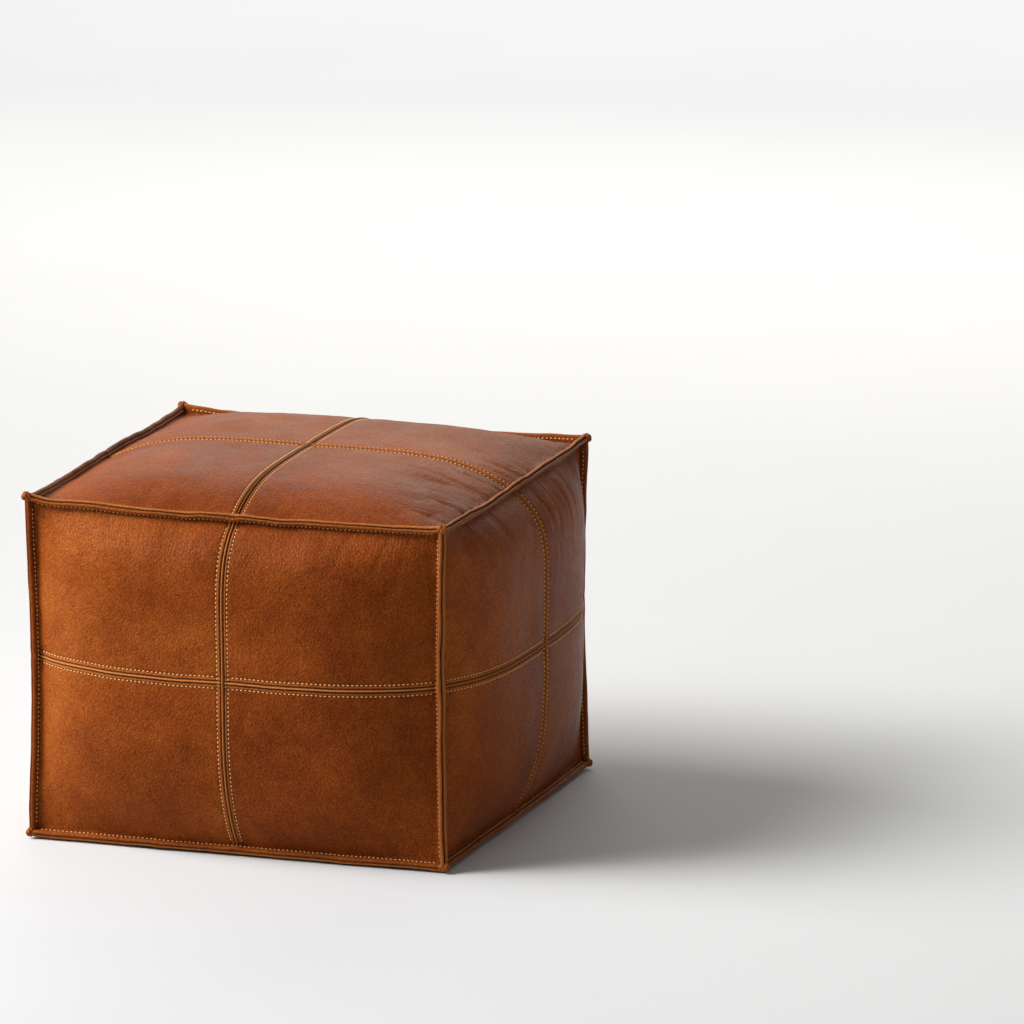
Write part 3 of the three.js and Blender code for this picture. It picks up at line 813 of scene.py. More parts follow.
STITCH_UP = 3.3 * MM  # from the edge line to the row of thread
HEM = [  # one turned hem, (beside, out) in mm from the flange's middle line: root to fold
    (1.2, -1.0), (1.5, 0.6), (1.9, 1.8), (2.3, 3.0), (3.0, 4.2), (3.55, 5.6), (3.8, 7.1),
    (3.55, 8.7), (2.85, 9.8), (1.9, 10.1), (1.0, 9.7), (0.75, 8.8), (0.5, 7.4), (0.15, 5.5),
]
STATION = 2.5 * MM
FLANGE_PAINTED_SHADE = {"front": -1.0, "right": -1.6, "back": -2.4, "left": -5.0}  # painted shade: how much darker each side's flanges are painted for the shade they stand in, most on the left, whose visible hems face away from the light
FOLD_RUB_AND_HIGHLIGHT = {  # how much lighter a flange's fold is painted on its two sides: a little rubbing, mostly a painted highlight on the side that faces the light
    "top": {1: 1.0, -1: 0.25}, "base": {1: 0.12, -1: 0.9}, "corner": {1: 0.8, -1: 0.8},
}
LEFT_FLANGE_SHADE = 0.12  # painted shade: flanges of the left side, whose visible hems face away from the light, keep this share of that
EAR_GROWTH = 0.14  # how much taller a flange grows towards its ends
KNUCKLE = 0.28  # how much thicker a flange is where it passes over a cross seam
BASE_DROOP = math.radians(24)  # the base flange points out and this far down


def flange(node, edge, stand, beside, shift, seed, ear_share):
    """A stitched pair of turned hems swept along an edge of the cube. edge gives the line's
    points, shift the slide of a section point along it that makes the ends meet."""
    length = RISE if "corner" in node else 2 * HALF
    t = np.linspace(-1, 1, round(length / STATION) + 1)
    line = edge(t)
    s = line_lengths(line)
    from_end = np.minimum(s, s[-1] - s)
    ear = EAR_GROWTH * bell(from_end, 0, 11 * MM) * ear_share
    seam = s[-1] * (SEAM_SHARE if "corner" in node else 0.5)
    knuckle = KNUCKLE * bell(s, seam, 5 * MM)
    tall = (1 + ear) * (1 + 0.05 * noise(s / 0.03, 1, seed)) * (1 - 0.3 * knuckle)
    plump = 1.2 if "corner" in node else 1.05
    thick = plump + 0.09 * noise(s / 0.021, 2, seed) + 0.25 * ear + knuckle
    lean = (0.9 * noise(s / 0.047, 3, seed) + 0.3 * noise(s / 0.013, 4, seed)) * MM
    hole = 0.5 + 0.5 * np.cos(2 * np.pi * (s - s[-1] / 2) / PITCH)

    def section(b, n, sign):
        """Points along the flange of one place in its section."""
        pinch = 1 - 0.2 * hole * bell(n, STITCH_UP / MM, 1.0)
        out = n * MM * np.where(n > 0, tall, 1)
        side = sign * b * MM * thick * pinch + lean * np.clip(n / 10, 0, 1) ** 1.5
        point = line + out[..., None] * stand + side[..., None] * beside
        return point + shift(t, out, side)

    loop = [(b, n, 1) for b, n in HEM] + [(b, n, -1) for b, n in HEM[::-1]]
    grid = np.stack([section(*place) for place in loop], 1)
    rows, columns = grid.shape[:2]
    faces = swept_faces(rows, columns)
    flags = [True] * (len(faces) - 2) + [False] * 2
    fold_light = FOLD_RUB_AND_HIGHLIGHT[node.split("_")[0]]
    side_shade = LEFT_FLANGE_SHADE if node.endswith("left") else 1.0
    # fold painted lighter: partly rubbed, mostly a painted highlight, less on the shaded side and on the left
    ridge = np.array([fold_light[side] * side_shade * bell(n, 9.4, 1.8) for _, n, side in loop])
    # painted shade between the two hems and at the flange's root
    groove = np.array([bell(b, 0, 0.85) + 0.95 * bell(n, -0.5, 3.0) for b, n, _ in loop])
    values = {
        "ridge": np.tile(ridge, rows),
        "groove": np.tile(np.clip(groove, 0, 1), rows),
        "tone": np.full(rows * columns, FLANGE_PAINTED_SHADE[node.split("_")[-1]]),
    }
    piece = make_object(node + "_hems", grid.reshape(-1, 3), faces, EDGE_LOOK, flags, values)
    place_piece(piece, "turned_leather_edge", node)
    rows_of_thread = []
    stitch_side = np.interp(STITCH_UP / MM, [n for _, n in HEM[:7]], [b for b, _ in HEM[:7]])
    inside = slice(2, -2)
    for sign in (-1, 1):
        row = section(stitch_side, STITCH_UP / MM, sign)[inside]
        rows_of_thread.append(stitches(row, np.tile(sign * beside, (len(row), 1))))
    thread_piece(node + "_stitches", rows_of_thread)


CORNERS = {  # the upright flange at the right end of each side
    "front": "corner_flange_front_right",
    "right": "corner_flange_back_right",
    "back": "corner_flange_back_left",
    "left": "corner_flange_front_left",
}
EDGES = (("top", 1, math.pi / 4, 300), ("base", 0, -BASE_DROOP, 320))  # level, share, tilt, seed


def corner_slide(t, out, _):
    """Brings an upright flange's ends up to the top flange and down to the base one."""
    reach = np.where(t > 0, 0.7 * out - 2 * MM, -0.4 * out + 2 * MM)
    return (reach * np.abs(t) ** 3)[..., None] * UP


def add_flanges():
    for i, (name, (right, out)) in enumerate(SIDES.items()):
        for level, share, tilt, seed in EDGES:
            stand = math.cos(tilt) * out + math.sin(tilt) * UP
            beside = math.cos(tilt) * UP - math.sin(tilt) * out
            edge = lambda t: side_point(name, t, share + 0 * t)
            slide = lambda t, o, b: (t * (o * (stand @ out) + b * (beside @ out)))[..., None] * right
            flange(f"{level}_flange_{name}", edge, stand, beside, slide, seed + i, share)
        stand, beside = (out + right) / math.sqrt(2), (out - right) / math.sqrt(2)
        edge = lambda t: side_point(name, 1 + 0 * t, (t + 1) / 2)
        flange(CORNERS[name], edge, stand, beside, corner_slide, 340 + i, 0)
        corner_knot(name, 1, stand)
        corner_knot(name, 0, stand)


KNOT = 5.2 * MM  # radius of the pinched corner of the flanges
KNOT_OUT = 9.2 * MM  # its middle stands this far out from the corner
KNOT_LIFT = (-2.6 * MM, 6.4 * MM)  # and this far up, at the base and at the top


def corner_knot(name, share, diagonal):
    """The small folded knob where three flanges meet."""
    corner = side_point(name, np.array(1.0), np.array(float(share)))
    middle = corner + diagonal * KNOT_OUT + UP * KNOT_LIFT[share]
    around = np.linspace(0, 2 * np.pi, 41)[:-1]
    turn, rise = np.meshgrid(around, np.linspace(-np.pi / 2, np.pi / 2, 23)[1:-1])
    fold = 1 + 0.10 * np.cos(3 * turn + 2 * rise) + 0.06 * np.cos(7 * turn - 3 * rise + share)
    side = np.cross(diagonal, UP)
    flat = np.cos(rise) * fold
    point = middle + KNOT * (
        (1.05 * flat * np.cos(turn))[..., None] * diagonal
        + (1.15 * flat * np.sin(turn))[..., None] * side
        + (0.95 * fold * np.sin(rise))[..., None] * UP
    )
    faces = swept_faces(*turn.shape)
    # painted highlight on the crests of the knot's folds and painted shade in their hollows
    values = {
        "ridge": np.clip(fold.ravel() - 0.9, 0, 0.2) * 3,
        "groove": np.clip(1 - fold.ravel(), 0, 0.2) * 4,
        "tone": 0.0 * fold.ravel(),
    }
    label = f"{'top' if share else 'base'}_knot_{name}_right"
    knot = make_object(label, point.reshape(-1, 3), faces, EDGE_LOOK, True, values)
    place_piece(knot, "turned_leather_edge")


add_flanges()


# ---- underside ---------------------------------------------------------------------------

ZIP_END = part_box("zip_coil_front")[1][0] + 4 * MM
END_SEAM = 10 * MM  # past the zip the two panels come together over this distance
GROUND_CLEAR = 0.15 * MM  # the least height of the leather above the floor
BORDER_STEPS = np.array((0, 0.6, 1.4, 2.4, 3.6, 5, 8, 12, 16, 20, 24, 28, 33, 38, 44)) * MM
ZIP_STEPS = np.array((0, 0.5, 1.0, 1.6, 2.3, 3.0, 3.7, 4.5, 6, 8, 10, 13, 16, 19, 22, 26)) * MM


def base_panel(node, sign):
    x_side = np.linspace(0, HALF - BORDER_STEPS[-1], 26)[1:]
    x_half = np.concatenate((x_side, HALF - BORDER_STEPS[-2::-1]))
    x = np.concatenate((-x_half[::-1], [0], x_half))
    near = zip_half_gap + ZIP_STEPS
    middle = np.linspace(near[-1], HALF - BORDER_STEPS[-1], 22)[1:]
    y = np.concatenate((near, middle, HALF - BORDER_STEPS[-2::-1]))
    slit = zip_half_gap + (GAP - zip_half_gap) * smooth(ZIP_END, ZIP_END + END_SEAM, np.abs(x))
    rows = slit + (y[:, None] - zip_half_gap) * (HALF - slit) / (HALF - zip_half_gap)
    rows = sign * rows / HALF
    rows = rows if sign > 0 else rows[::-1]
    p = np.broadcast_to(x / HALF, rows.shape)
    outer, normal = skin("base", p, rows)
    outer[..., 2] = np.maximum(outer[..., 2], GROUND_CLEAR)
    inner = outer - normal * LEATHER * DRAWN_THICK
    points, faces, flags = sheet_mesh(outer, inner)
    values = wear_values("base", p, rows, next(tones))
    piece = make_object(node + "_leather", points, faces, LEATHER_LOOK, flags, values)
    place_piece(piece, "cognac_leather", node)
    line_x = np.linspace(-HALF + 12 * MM, HALF - 12 * MM, 300)
    line_slit = np.interp(line_x, x, slit) + 3 * MM
    return stitches(*skin("base", line_x / HALF, sign * line_slit / HALF))


thread_piece("base_zip_stitches", [
    base_panel("base_panel_front", 1),
    base_panel("base_panel_back", -1),
])


# ---- inner layers ------------------------------------------------------------------------

def layer_point(name, p, q, depth):
    """Point of a layer that lies evenly under the stuffed face."""
    if name in SIDES:
        right, out = SIDES[name]
        point = side_point(name, p, q)
        point = point - (p * depth)[..., None] * right - out * depth
        return point + (depth * (1 - 2 * q))[..., None] * UP
    if name == "top":
        return top_point(name, p, q) - depth * np.stack((p, q, 1 + 0 * p), -1)
    return np.stack((p * (HALF - depth), -q * (HALF - depth), depth + 0 * p), -1)


def layer_lines(name, step=9 * MM):
    low = 0.001 if name in SIDES else -0.999
    rise = RISE if name in SIDES else 2 * HALF
    across = np.linspace(-0.999, 0.999, round(2 * HALF / step) + 1)
    return across, np.linspace(low, 0.999, round(rise / step) + 1)


LINER_DEPTH = 5.0 * MM
LINER_THICK = 0.8 * MM
LINER_BASE_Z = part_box("liner_base")[0][2]

for name in FACES:
    p, q = np.meshgrid(*layer_lines(name))
    depth = LINER_DEPTH if name != "base" else LINER_BASE_Z
    wrinkle = 0.5 * MM * noise(p * 9, q * 9, 61) - 0.5 * MM
    outer = layer_point(name, p, q, depth)
    out = SIDES[name][1] if name in SIDES else {"top": UP, "base": -UP}[name]
    outer = outer + wrinkle[..., None] * out
    inner = outer - out * LINER_THICK
    piece = make_object(f"liner_{name}_calico", *sheet_mesh(outer, inner)[:2], CALICO_LOOK)
    place_piece(piece, "calico", "liner_" + name)


TAPE_HALF = 12 * MM
TAPE_DEPTH = 3.6 * MM
TAPE_THICK = 0.8 * MM
TAPE_REACH = 0.97  # share of the way to a face's edges that the tapes run


def tape_lines(reach, count):
    """Distances from a seam: two within the half width of the tape, the rest to its end."""
    near, far = np.linspace(0, TAPE_HALF, 3), np.linspace(TAPE_HALF, reach, count)
    return np.concatenate((near[1:], far[1:]))


for name in (*SIDES, "top"):
    unit, middle, low = (RISE, SEAM_SHARE, 0.03) if name in SIDES else (HALF, 0, -TAPE_REACH)
    ends = tape_lines(TAPE_REACH * HALF, 30)
    columns = np.concatenate((-ends[::-1], [0], ends)) / HALF
    reach_up, reach_down = (TAPE_REACH - middle) * unit, (middle - low) * unit
    above, below = tape_lines(reach_up, 20), tape_lines(reach_down, 20)
    rows = middle + np.concatenate((-below[::-1], [0], above)) / unit
    p, q = np.meshgrid(columns, rows)
    point = FACES[name](name, p, q)
    normal = face_normal(name, p, q)
    middle_p = (p[:-1, :-1] + p[1:, 1:]) / 2 * HALF
    middle_q = ((q[:-1, :-1] + q[1:, 1:]) / 2 - middle) * unit
    kept = (np.abs(middle_p) < TAPE_HALF) | (np.abs(middle_q) < TAPE_HALF)
    outer = point - normal * TAPE_DEPTH
    inner = outer - normal * TAPE_THICK
    points, faces, _ = sheet_mesh(outer, inner, kept)
    piece = make_object(f"stay_tape_{name}_cotton", points, faces, COTTON_LOOK)
    place_piece(piece, "cotton_tape", "stay_tape_" + name)


def rounded_block(low, high, radius, cuts, seed, wobble):
    """Points and faces of a block with soft edges and a slightly uneven face."""
    low, high = np.array(low), np.array(high)
    middle, half = (low + high) / 2, (high - low) / 2
    shares = np.linspace(-1, 1, cuts + 1)
    u, v = np.meshgrid(shares, shares)
    points, faces, count = [], [], 0
    index = np.arange((cuts + 1) ** 2).reshape(cuts + 1, cuts + 1)
    squares = np.stack((index[:-1, :-1], index[:-1, 1:], index[1:, 1:], index[1:, :-1]), -1)
    squares = squares.reshape(-1, 4)
    for axis in range(3):
        for sign in (-1, 1):
            point = np.zeros((*u.shape, 3))
            point[..., axis] = sign
            point[..., (axis + 1) % 3], point[..., (axis + 2) % 3] = u, v
            points.append(point.reshape(-1, 3))
            faces.append((squares if sign > 0 else squares[:, ::-1]) + count)
            count += u.size
    share = np.concatenate(points)
    keys, place = np.unique(np.round(share * 1e6).astype(np.int64), axis=0, return_inverse=True)
    share = keys / 1e6
    point = share * half
    core = np.clip(point, -(half - radius), half - radius)
    away = point - core
    length = np.linalg.norm(away, axis=1, keepdims=True)
    direction = away / np.maximum(length, 1e-9)
    bumps = noise(share[:, 0] * 7 + share[:, 2] * 3, share[:, 1] * 7 - share[:, 2] * 5, seed) - 1
    point = core + direction * (radius + wobble * bumps[:, None])
    place = place.reshape(-1)
    return point + middle, [tuple(place[f]) for f in np.concatenate(faces).tolist()]


for name in ("foam_core", "foam_topper"):
    points, faces = rounded_block(*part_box(name), 5 * MM, 40, 71, 0.6 * MM)
    piece = make_object(name + "_block", points, faces, FOAM_LOOK)
    place_piece(piece, "foam", name)

FIBRE_DEPTH = 8.0 * MM
FOAM_CLEAR = 1.2 * MM  # between the foam and the fibre round it
foam_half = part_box("foam_core")[1][0]
fibre_low, fibre_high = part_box("fibre_wrap")[0][2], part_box("fibre_wrap")[1][2]


def fibre_wrap():
    """One closed ring of fibre, from the foam out to the liner."""
    p_line = np.linspace(-1, 1, 49)[:-1]
    heights = np.linspace(fibre_low, fibre_high, 41)
    q_line = (heights - BASE_Z - FIBRE_DEPTH) / (RISE - 2 * FIBRE_DEPTH)
    p, q = np.meshgrid(p_line, np.clip(q_line, 0.02, 0.98))
    outside, inside = [], []
    for name, (right, out) in SIDES.items():
        tuft = 0.9 * MM * (noise(p * 12, q * 12, FACE_SEEDS[name]) - 1)
        fat = layer_point(name, p, q, FIBRE_DEPTH)
        fat = fat + (tuft * (1 - p ** 8))[..., None] * out
        fat[..., 2] = heights[:, None]
        outside.append(fat)
        wall = (p * (foam_half + FOAM_CLEAR))[..., None] * right
        wall = wall + (foam_half + FOAM_CLEAR) * out
        wall[..., 2] = heights[:, None]
        inside.append(wall)
    outside, inside = np.concatenate(outside, 1), np.concatenate(inside, 1)
    rows, columns = outside.shape[:2]
    index = np.arange(rows * columns).reshape(rows, columns)
    after, other = np.roll(index, -1, axis=1), rows * columns
    squares = [
        (index[:-1], after[:-1], after[1:], index[1:]),
        (index[1:] + other, after[1:] + other, after[:-1] + other, index[:-1] + other),
        (index[-1:], after[-1:], after[-1:] + other, index[-1:] + other),
        (index[:1] + other, after[:1] + other, after[:1], index[:1]),
    ]
    faces = np.concatenate([np.stack(s, -1).reshape(-1, 4) for s in squares]).tolist()
    return np.concatenate((outside.reshape(-1, 3), inside.reshape(-1, 3))), faces


piece = make_object("fibre_wrap_wadding", *fibre_wrap(), FIBRE_LOOK)
place_piece(piece, "fibre", "fibre_wrap")

p, q = np.meshgrid(np.linspace(-0.98, 0.98, 61), np.linspace(-0.98, 0.98, 61))
pad_top = layer_point("top", p, q, FIBRE_DEPTH)
pad_top[..., 2] += 0.9 * MM * (noise(p * 14, q * 14, 83) - 1)
pad_low = pad_top.copy()
pad_low[..., 2] = fibre_high + 1 * MM
pad_top[..., 2] = np.maximum(pad_top[..., 2], fibre_high + 3 * MM)
piece = make_object("fibre_top_pad_wadding", *sheet_mesh(pad_top, pad_low)[:2], FIBRE_LOOK)
place_piece(piece, "fibre", "fibre_top_pad")


# ---- zip ---------------------------------------------------------------------------------

COIL_WIRE = 0.32 * MM  # radius
COIL_PITCH = 1.3 * MM
COIL_TURN_STEPS = 12


def tube(line, radius, sides=6, closed=False):
    """Points and faces of a round wire along a line of points."""
    line = np.asarray(line)
    tangent = np.gradient(line, axis=0)
    if closed:
        tangent = np.roll(line, -1, 0) - np.roll(line, 1, 0)
    tangent /= np.linalg.norm(tangent, axis=1, keepdims=True)
    guide = np.array((0.31, 0.17, 0.93))
    side = np.cross(tangent, guide)
    side /= np.linalg.norm(side, axis=1, keepdims=True)
    other = np.cross(side, tangent)
    angle = np.arange(sides) * 2 * np.pi / sides
    ring = np.cos(angle)[:, None] * side[:, None] + np.sin(angle)[:, None] * other[:, None]
    points = line[:, None] + radius * ring
    return points.reshape(-1, 3), swept_faces(len(line), sides, closed)


for rank, sign in (("front", -1), ("back", 1)):
    low, high = (np.array(v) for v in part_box("zip_coil_" + rank))
    middle, half = (low + high) / 2, (high - low) / 2 - COIL_WIRE
    turns = (high[0] - low[0] - 2 * COIL_WIRE) / COIL_PITCH
    angle = np.linspace(0, 2 * np.pi * turns, int(turns * COIL_TURN_STEPS) + 1)
    start = 0 if sign > 0 else np.pi
    width = np.cos(angle + start)
    square = np.sign(width) * np.abs(width) ** 0.8
    height = np.sin(angle + start)
    x = low[0] + COIL_WIRE + angle / (2 * np.pi) * COIL_PITCH
    y = middle[1] + sign * (square * (half[1] + 0.25 * MM) - 0.25 * MM)
    z = middle[2] + height * half[2]
    coil = tube(np.stack((x, y, z), -1), COIL_WIRE)
    piece = make_object(f"zip_coil_{rank}_teeth", *coil, COIL_LOOK)
    place_piece(piece, "zip_coil", "zip_coil_" + rank)

    low, high = (np.array(v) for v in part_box("zip_tape_" + rank))
    p, q = np.meshgrid(np.linspace(low[0], high[0], 180), np.linspace(low[1], high[1], 9))
    bow = 0.12 * MM * noise(p / 0.03, q / 0.02, 91)
    under = np.stack((p, q, low[2] + 0.12 * MM + bow), -1)
    over = np.stack((p, q, high[2] - 0.12 * MM + bow), -1)
    piece = make_object(f"zip_tape_{rank}_weave", *sheet_mesh(over, under)[:2], ZIP_TAPE_LOOK)
    place_piece(piece, "zip_tape", "zip_tape_" + rank)


def stacked_rings(rings, closed=False):
    """Points and side faces of outlines of (x, y) points, each at its own height. closed
    joins the last to the first."""
    points = np.concatenate([np.column_stack((xy, np.full(len(xy), z))) for xy, z in rings])
    count, levels = len(rings[0][0]), len(rings)
    faces = []
    for k in range(levels if closed else levels - 1):
        for i in range(count):
            j, after = (i + 1) % count, (k + 1) % levels
            faces.append((k * count + i, k * count + j, after * count + j, after * count + i))
    return points, faces


def bevelled_prism(outline, low, high, bevel):
    """Points and faces of a plate with bevelled rims: outline is its (x, y) points seen from
    above, anticlockwise."""
    outline = np.array(outline)
    toward = np.roll(outline, -1, 0) - np.roll(outline, 1, 0)
    inward = np.stack((-toward[:, 1], toward[:, 0]), 1)
    inward /= np.linalg.norm(inward, axis=1, keepdims=True)
    narrow = outline + inward * bevel
    rings = [(narrow, low), (outline, low + bevel), (outline, high - bevel), (narrow, high)]
    points, faces = stacked_rings(rings)
    count = len(outline)
    faces += [tuple(range(count - 1, -1, -1)), tuple(range(3 * count, 4 * count))]
    return points, faces


def rounded_outline(x_low, x_high, half_left, half_right, corner, steps=6):
    """A plate seen from above, half_left wide at its low end and half_right at its high end."""
    centres = [
        (x_high - corner, half_right - corner, 0), (x_low + corner, half_left - corner, 90),
        (x_low + corner, -(half_left - corner), 180), (x_high - corner, -(half_right - corner), 270),
    ]
    return [
        (cx + corner * math.cos(a), cy + corner * math.sin(a))
        for cx, cy, turn in centres
        for a in (math.radians(turn + 90 * k / steps) for k in range(steps + 1))
    ]


slider_low, slider_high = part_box("zip_slider")
slider_x = (slider_low[0] + slider_high[0]) / 2
tape_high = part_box("zip_tape_front")[1][2]
CLEAR = 0.4 * MM
PLATE = 1.1 * MM
lower_top = zip_low - CLEAR
lower_bottom = lower_top - PLATE
upper_bottom = tape_high + CLEAR
BAIL_WIRE = 0.6 * MM


def moved(shell, x):
    points, faces = shell
    return points + np.array((x, 0, 0)), faces


def slider_shells():
    """Two wedge-shaped plates, rims that hold the coils, a post and a bail of wire."""
    half = (slider_high[0] - slider_low[0]) / 2
    wide = slider_high[1]
    plate = rounded_outline(-half, half, wide * 0.82, wide, 1.7 * MM)
    yield bevelled_prism(plate, lower_bottom, lower_top, 0.3 * MM)
    cover = rounded_outline(-half + 1 * MM, half - 1 * MM, wide * 0.7, wide * 0.88, 1.6 * MM)
    yield bevelled_prism(cover, upper_bottom, upper_bottom + PLATE, 0.3 * MM)
    post = rounded_outline(2 * MM, 4 * MM, 0.3 * MM, 0.38 * MM, 0.15 * MM)
    yield bevelled_prism(post, lower_top - 0.2 * MM, upper_bottom + 0.2 * MM, 0.02 * MM)
    for sign in (-1, 1):
        rim = [(-half + 0.8 * MM, 0.74), (-0.5 * MM, 0.76), (half - 1.8 * MM, 0.9)]
        inner = [(x, sign * (y * wide)) for x, y in rim]
        outer = [(x, sign * (y * wide + 0.7 * MM * (0.9 if x < half / 2 else 0.6))) for x, y in rim]
        outline = inner + outer[::-1]
        if sign > 0:
            outline = outline[::-1]
        yield bevelled_prism(outline, lower_top - 0.2 * MM, lower_top + 1.5 * MM, 0.15 * MM)
    bottom = slider_low[2] + BAIL_WIRE
    bend = np.linspace(0, np.pi, 25)
    reach = 3.6 * MM
    x = -reach * np.cos(bend)
    z = lower_bottom + 0.3 * MM - (lower_bottom + 0.3 * MM - bottom) * np.sin(bend) ** 0.35
    yield tube(np.stack((x, 0 * x, z), -1), BAIL_WIRE, 10)


piece = make_object(
    "zip_slider_body", *joined_shells(moved(s, slider_x) for s in slider_shells()), BRASS_LOOK, False,
)
place_piece(piece, "brass", "zip_slider", body="slider")

TAB_LENGTH = 26 * MM  # from the hinge to the far end
TAB_HALF = 3.0 * MM
TAB_THICK = 1.0 * MM
TAB_RAIL = 1.4 * MM  # width of the metal round the eye
TAB_EYE = 9 * MM  # from the hinge to the far end of the hole in the eye
RIM_INSET = 0.35 * MM  # from the blade's round end to the middle of its raised rim
tab_low, tab_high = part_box("zip_pull_tab")
hinge_z = tab_high[2] - TAB_THICK * 0.6
TAB_DROOP = math.asin((hinge_z - tab_low[2] - TAB_THICK / 2) / (TAB_LENGTH - TAB_THICK / 2))


def ring_plate(outer, inner, half, bevel):
    """Points and faces of a flat plate with a hole: outer and inner are matching outlines."""
    outer, inner = np.array(outer), np.array(inner)
    toward = inner - outer
    toward /= np.linalg.norm(toward, axis=1, keepdims=True)
    rings = [
        (outer, half - bevel), (outer + toward * bevel, half),
        (inner - toward * bevel, half), (inner, half - bevel),
        (inner, bevel - half), (inner - toward * bevel, -half),
        (outer + toward * bevel, -half), (outer, bevel - half),
    ]
    return stacked_rings(rings, closed=True)


def tab_shells():
    """The eye that hangs from the bail and the blade with its raised rim."""
    eye_far = -TAB_EYE - TAB_RAIL
    outer = rounded_outline(eye_far, TAB_THICK / 2, TAB_HALF, TAB_HALF, 0.9 * MM)
    hole_half = TAB_HALF - TAB_RAIL
    inner = rounded_outline(-TAB_EYE, -TAB_THICK / 2, hole_half, hole_half, 0.45 * MM)
    yield ring_plate(outer, inner, TAB_THICK / 2, 0.2 * MM)
    end = TAB_LENGTH - TAB_THICK / 2
    turn = np.radians(np.linspace(90, 270, 25))
    blade = [(-end + TAB_HALF * (1 + math.cos(a)), TAB_HALF * math.sin(a)) for a in turn]
    blade += [(-TAB_EYE - 0.4 * MM, -TAB_HALF * 0.9), (-TAB_EYE - 0.4 * MM, TAB_HALF * 0.9)]
    yield bevelled_prism(blade, -TAB_THICK * 0.36, TAB_THICK * 0.36, 0.12 * MM)
    bend = TAB_HALF - RIM_INSET
    rim = [(-end + TAB_HALF + bend * math.cos(a), bend * math.sin(a)) for a in turn]
    rim += [(-TAB_EYE - 1.2 * MM, -TAB_HALF * 0.8), (-TAB_EYE - 1.2 * MM, TAB_HALF * 0.8)]
    rim = np.array(rim)
    closed = np.column_stack((rim, np.zeros(len(rim))))
    yield tube(closed, TAB_THICK * 0.48, 8, closed=True)


points, faces = joined_shells(tab_shells())
turned = points.copy()  # sloped down by a shear, not a true turn, which thins it by 8 %
turned[:, 0] = points[:, 0] * math.cos(TAB_DROOP) + points[:, 2] * math.sin(TAB_DROOP) + slider_x
turned[:, 2] = points[:, 0] * math.sin(TAB_DROOP) + points[:, 2] * math.cos(TAB_DROOP) + hinge_z
piece = make_object("zip_pull_tab_blade", turned, faces, BRASS_LOOK, False)
place_piece(piece, "brass", "zip_pull_tab", body="pull_tab")


def stop_shells(low, high):
    """A crimped clip: a bridge with two turned-in legs."""
    (x0, y0, z0), (x1, y1, z1) = low, high
    wide, deep, tall = x1 - x0, y1 - y0, z1 - z0
    corner = min(wide, deep) * 0.28
    outline = [(x + (x0 + x1) / 2, y + (y0 + y1) / 2) for x, y in rounded_outline(
        -wide / 2, wide / 2, deep / 2, deep / 2, corner)]
    yield bevelled_prism(outline, z0, z0 + tall * 0.42, tall * 0.12)
    for side in (0, 1):
        middle = y0 + deep * (0.2 + 0.6 * side)
        leg = [(x + (x0 + x1) / 2, y + middle) for x, y in rounded_outline(
            -wide * 0.42, wide * 0.42, deep * 0.18, deep * 0.18, corner * 0.5)]
        yield bevelled_prism(leg, z0 + tall * 0.3, z1, tall * 0.1)


for node in ("zip_top_stop_front", "zip_top_stop_back", "zip_bottom_stop"):
    clip = joined_shells(stop_shells(*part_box(node)))
    piece = make_object(node + "_clip", *clip, BRASS_LOOK, False)
    place_piece(piece, "brass", node)


# ---- stage, light and camera -------------------------------------------------------------

def make_stage():
    bpy.ops.mesh.primitive_plane_add(size=260, location=(0, 0, 0))
    floor = bpy.context.object
    floor.name = "studio_floor"
    s = Shader("studio_floor")
    floor.data.materials.append(s.finish(s.blend(s.noise(3, 2), (0.55, 0.55, 0.55), (0.57, 0.57, 0.57)), 0.9))
    floor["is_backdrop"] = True
    world = bpy.data.worlds.new("studio")
    bpy.context.scene.world = world
    world.use_nodes = True
    tree = world.node_tree
    direction = tree.nodes.new("ShaderNodeTexCoord").outputs["Generated"]
    height = tree.nodes.new("ShaderNodeSeparateXYZ")
    tree.links.new(direction, height.inputs[0])
    sky = tree.nodes.new("ShaderNodeValToRGB")
    tree.links.new(height.outputs["Z"], sky.inputs["Fac"])
    while len(sky.color_ramp.elements) < len(SKY):
        sky.color_ramp.elements.new(0.5)
    for stop, (place, grey) in zip(sky.color_ramp.elements, SKY):
        stop.position = place
        stop.color = (grey, grey, grey, 1)
    tree.links.new(sky.outputs["Color"], tree.nodes["Background"].inputs["Color"])


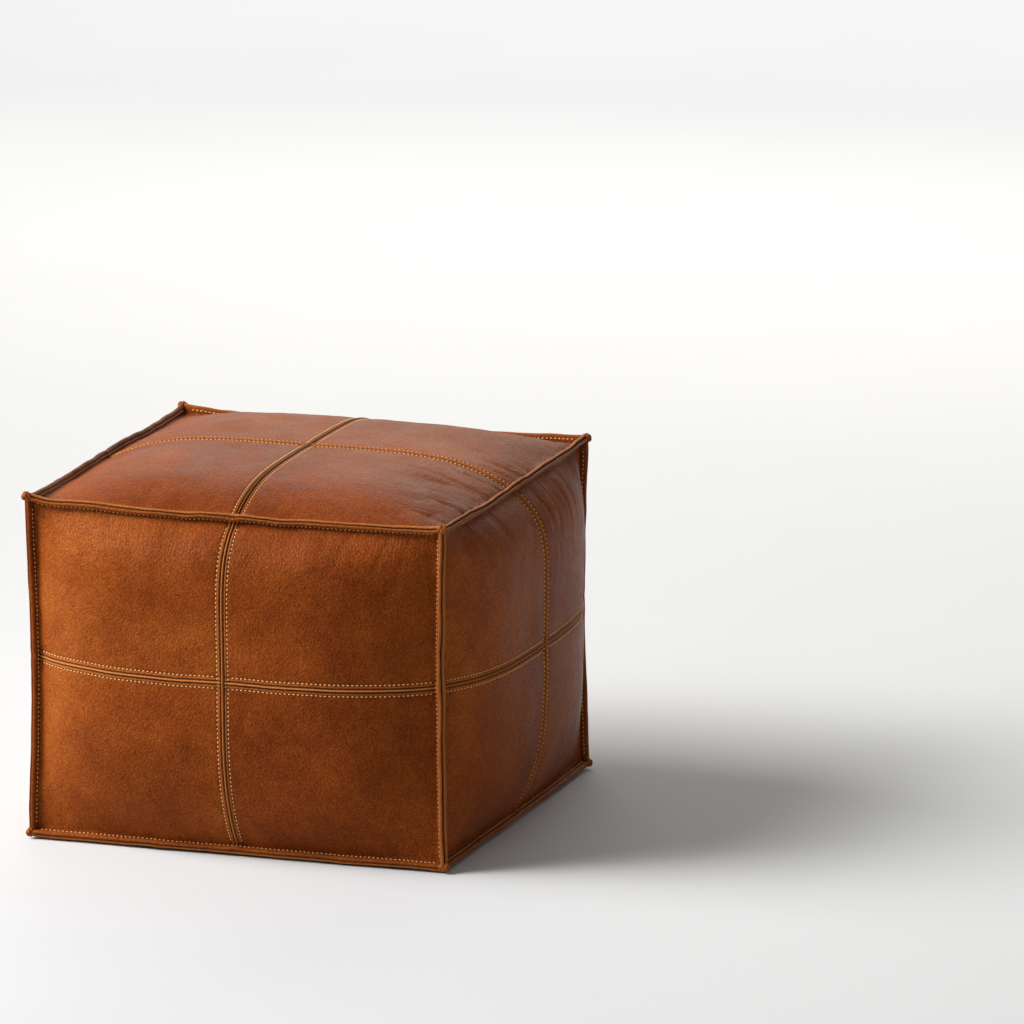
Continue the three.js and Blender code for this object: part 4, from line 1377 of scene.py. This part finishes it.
SKY = [(0.0, 0.6), (0.035, 0.56), (0.1, 0.3), (0.42, 0.36), (1.0, 0.18)]  # (sine of height, brightness)
SUN_DIRECTION = (-0.78, -0.27, 0.565)
SUN_STRENGTH = 4.1
SOFT_LIGHTS = [  # name, place, target, width, height, watts, colour
    ("key", (-1.45, -0.92, 1.7), (0, 0, 0.22), 0.9, 0.9, 41, (1, 1, 1)),
    ("sheen", (-0.5, 3.5, 1.55), (0, 0.3, 0.3), 3.0, 1.3, 23, (1, 0.94, 0.78)),
    ("backdrop", (-1.3, 5.5, 3.6), (-1.3, 5.3, 0), 5.0, 4.0, 125, (1, 1, 1)),
]


def aimed(data, place, target):
    lamp = bpy.data.objects.new(data.name, data)
    lamp.location = place
    lamp.rotation_euler = (Vector(target) - Vector(place)).to_track_quat("-Z", "Y").to_euler()
    bpy.context.scene.collection.objects.link(lamp)


def make_lights():
    sun = bpy.data.lights.new("window", "SUN")
    sun.energy = SUN_STRENGTH
    sun.angle = math.radians(45)
    aimed(sun, SUN_DIRECTION, (0, 0, 0))
    for name, place, target, width, height, watts, colour in SOFT_LIGHTS:
        light = bpy.data.lights.new(name, "AREA")
        light.shape = "RECTANGLE"
        light.size, light.size_y = width, height
        light.energy = watts
        light.color = colour
        aimed(light, place, target)


CAMERA_PLACE = (4.612, -12.513, 3.476)
CAMERA_TURN = (90 - 13.224, 0, 19.24)
CAMERA_ROLL = -0.26
LENS = 421.2


def make_camera():
    data = bpy.data.cameras.new("camera")
    data.lens = LENS
    data.clip_end = 200
    camera = bpy.data.objects.new("camera", data)
    bpy.context.scene.collection.objects.link(camera)
    camera.location = CAMERA_PLACE
    turn = Euler([math.radians(a) for a in CAMERA_TURN]).to_matrix()
    roll = Euler((0, 0, math.radians(CAMERA_ROLL))).to_matrix()
    camera.rotation_euler = (turn @ roll).to_euler()
    bpy.context.scene.camera = camera


make_stage()
make_lights()
make_camera()
bpy.context.scene.view_settings.view_transform = "Standard"

low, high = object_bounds()
({
    "cad": [list(cad_low), list(cad_high)],
    "visual": [list(low), list(high)],
})
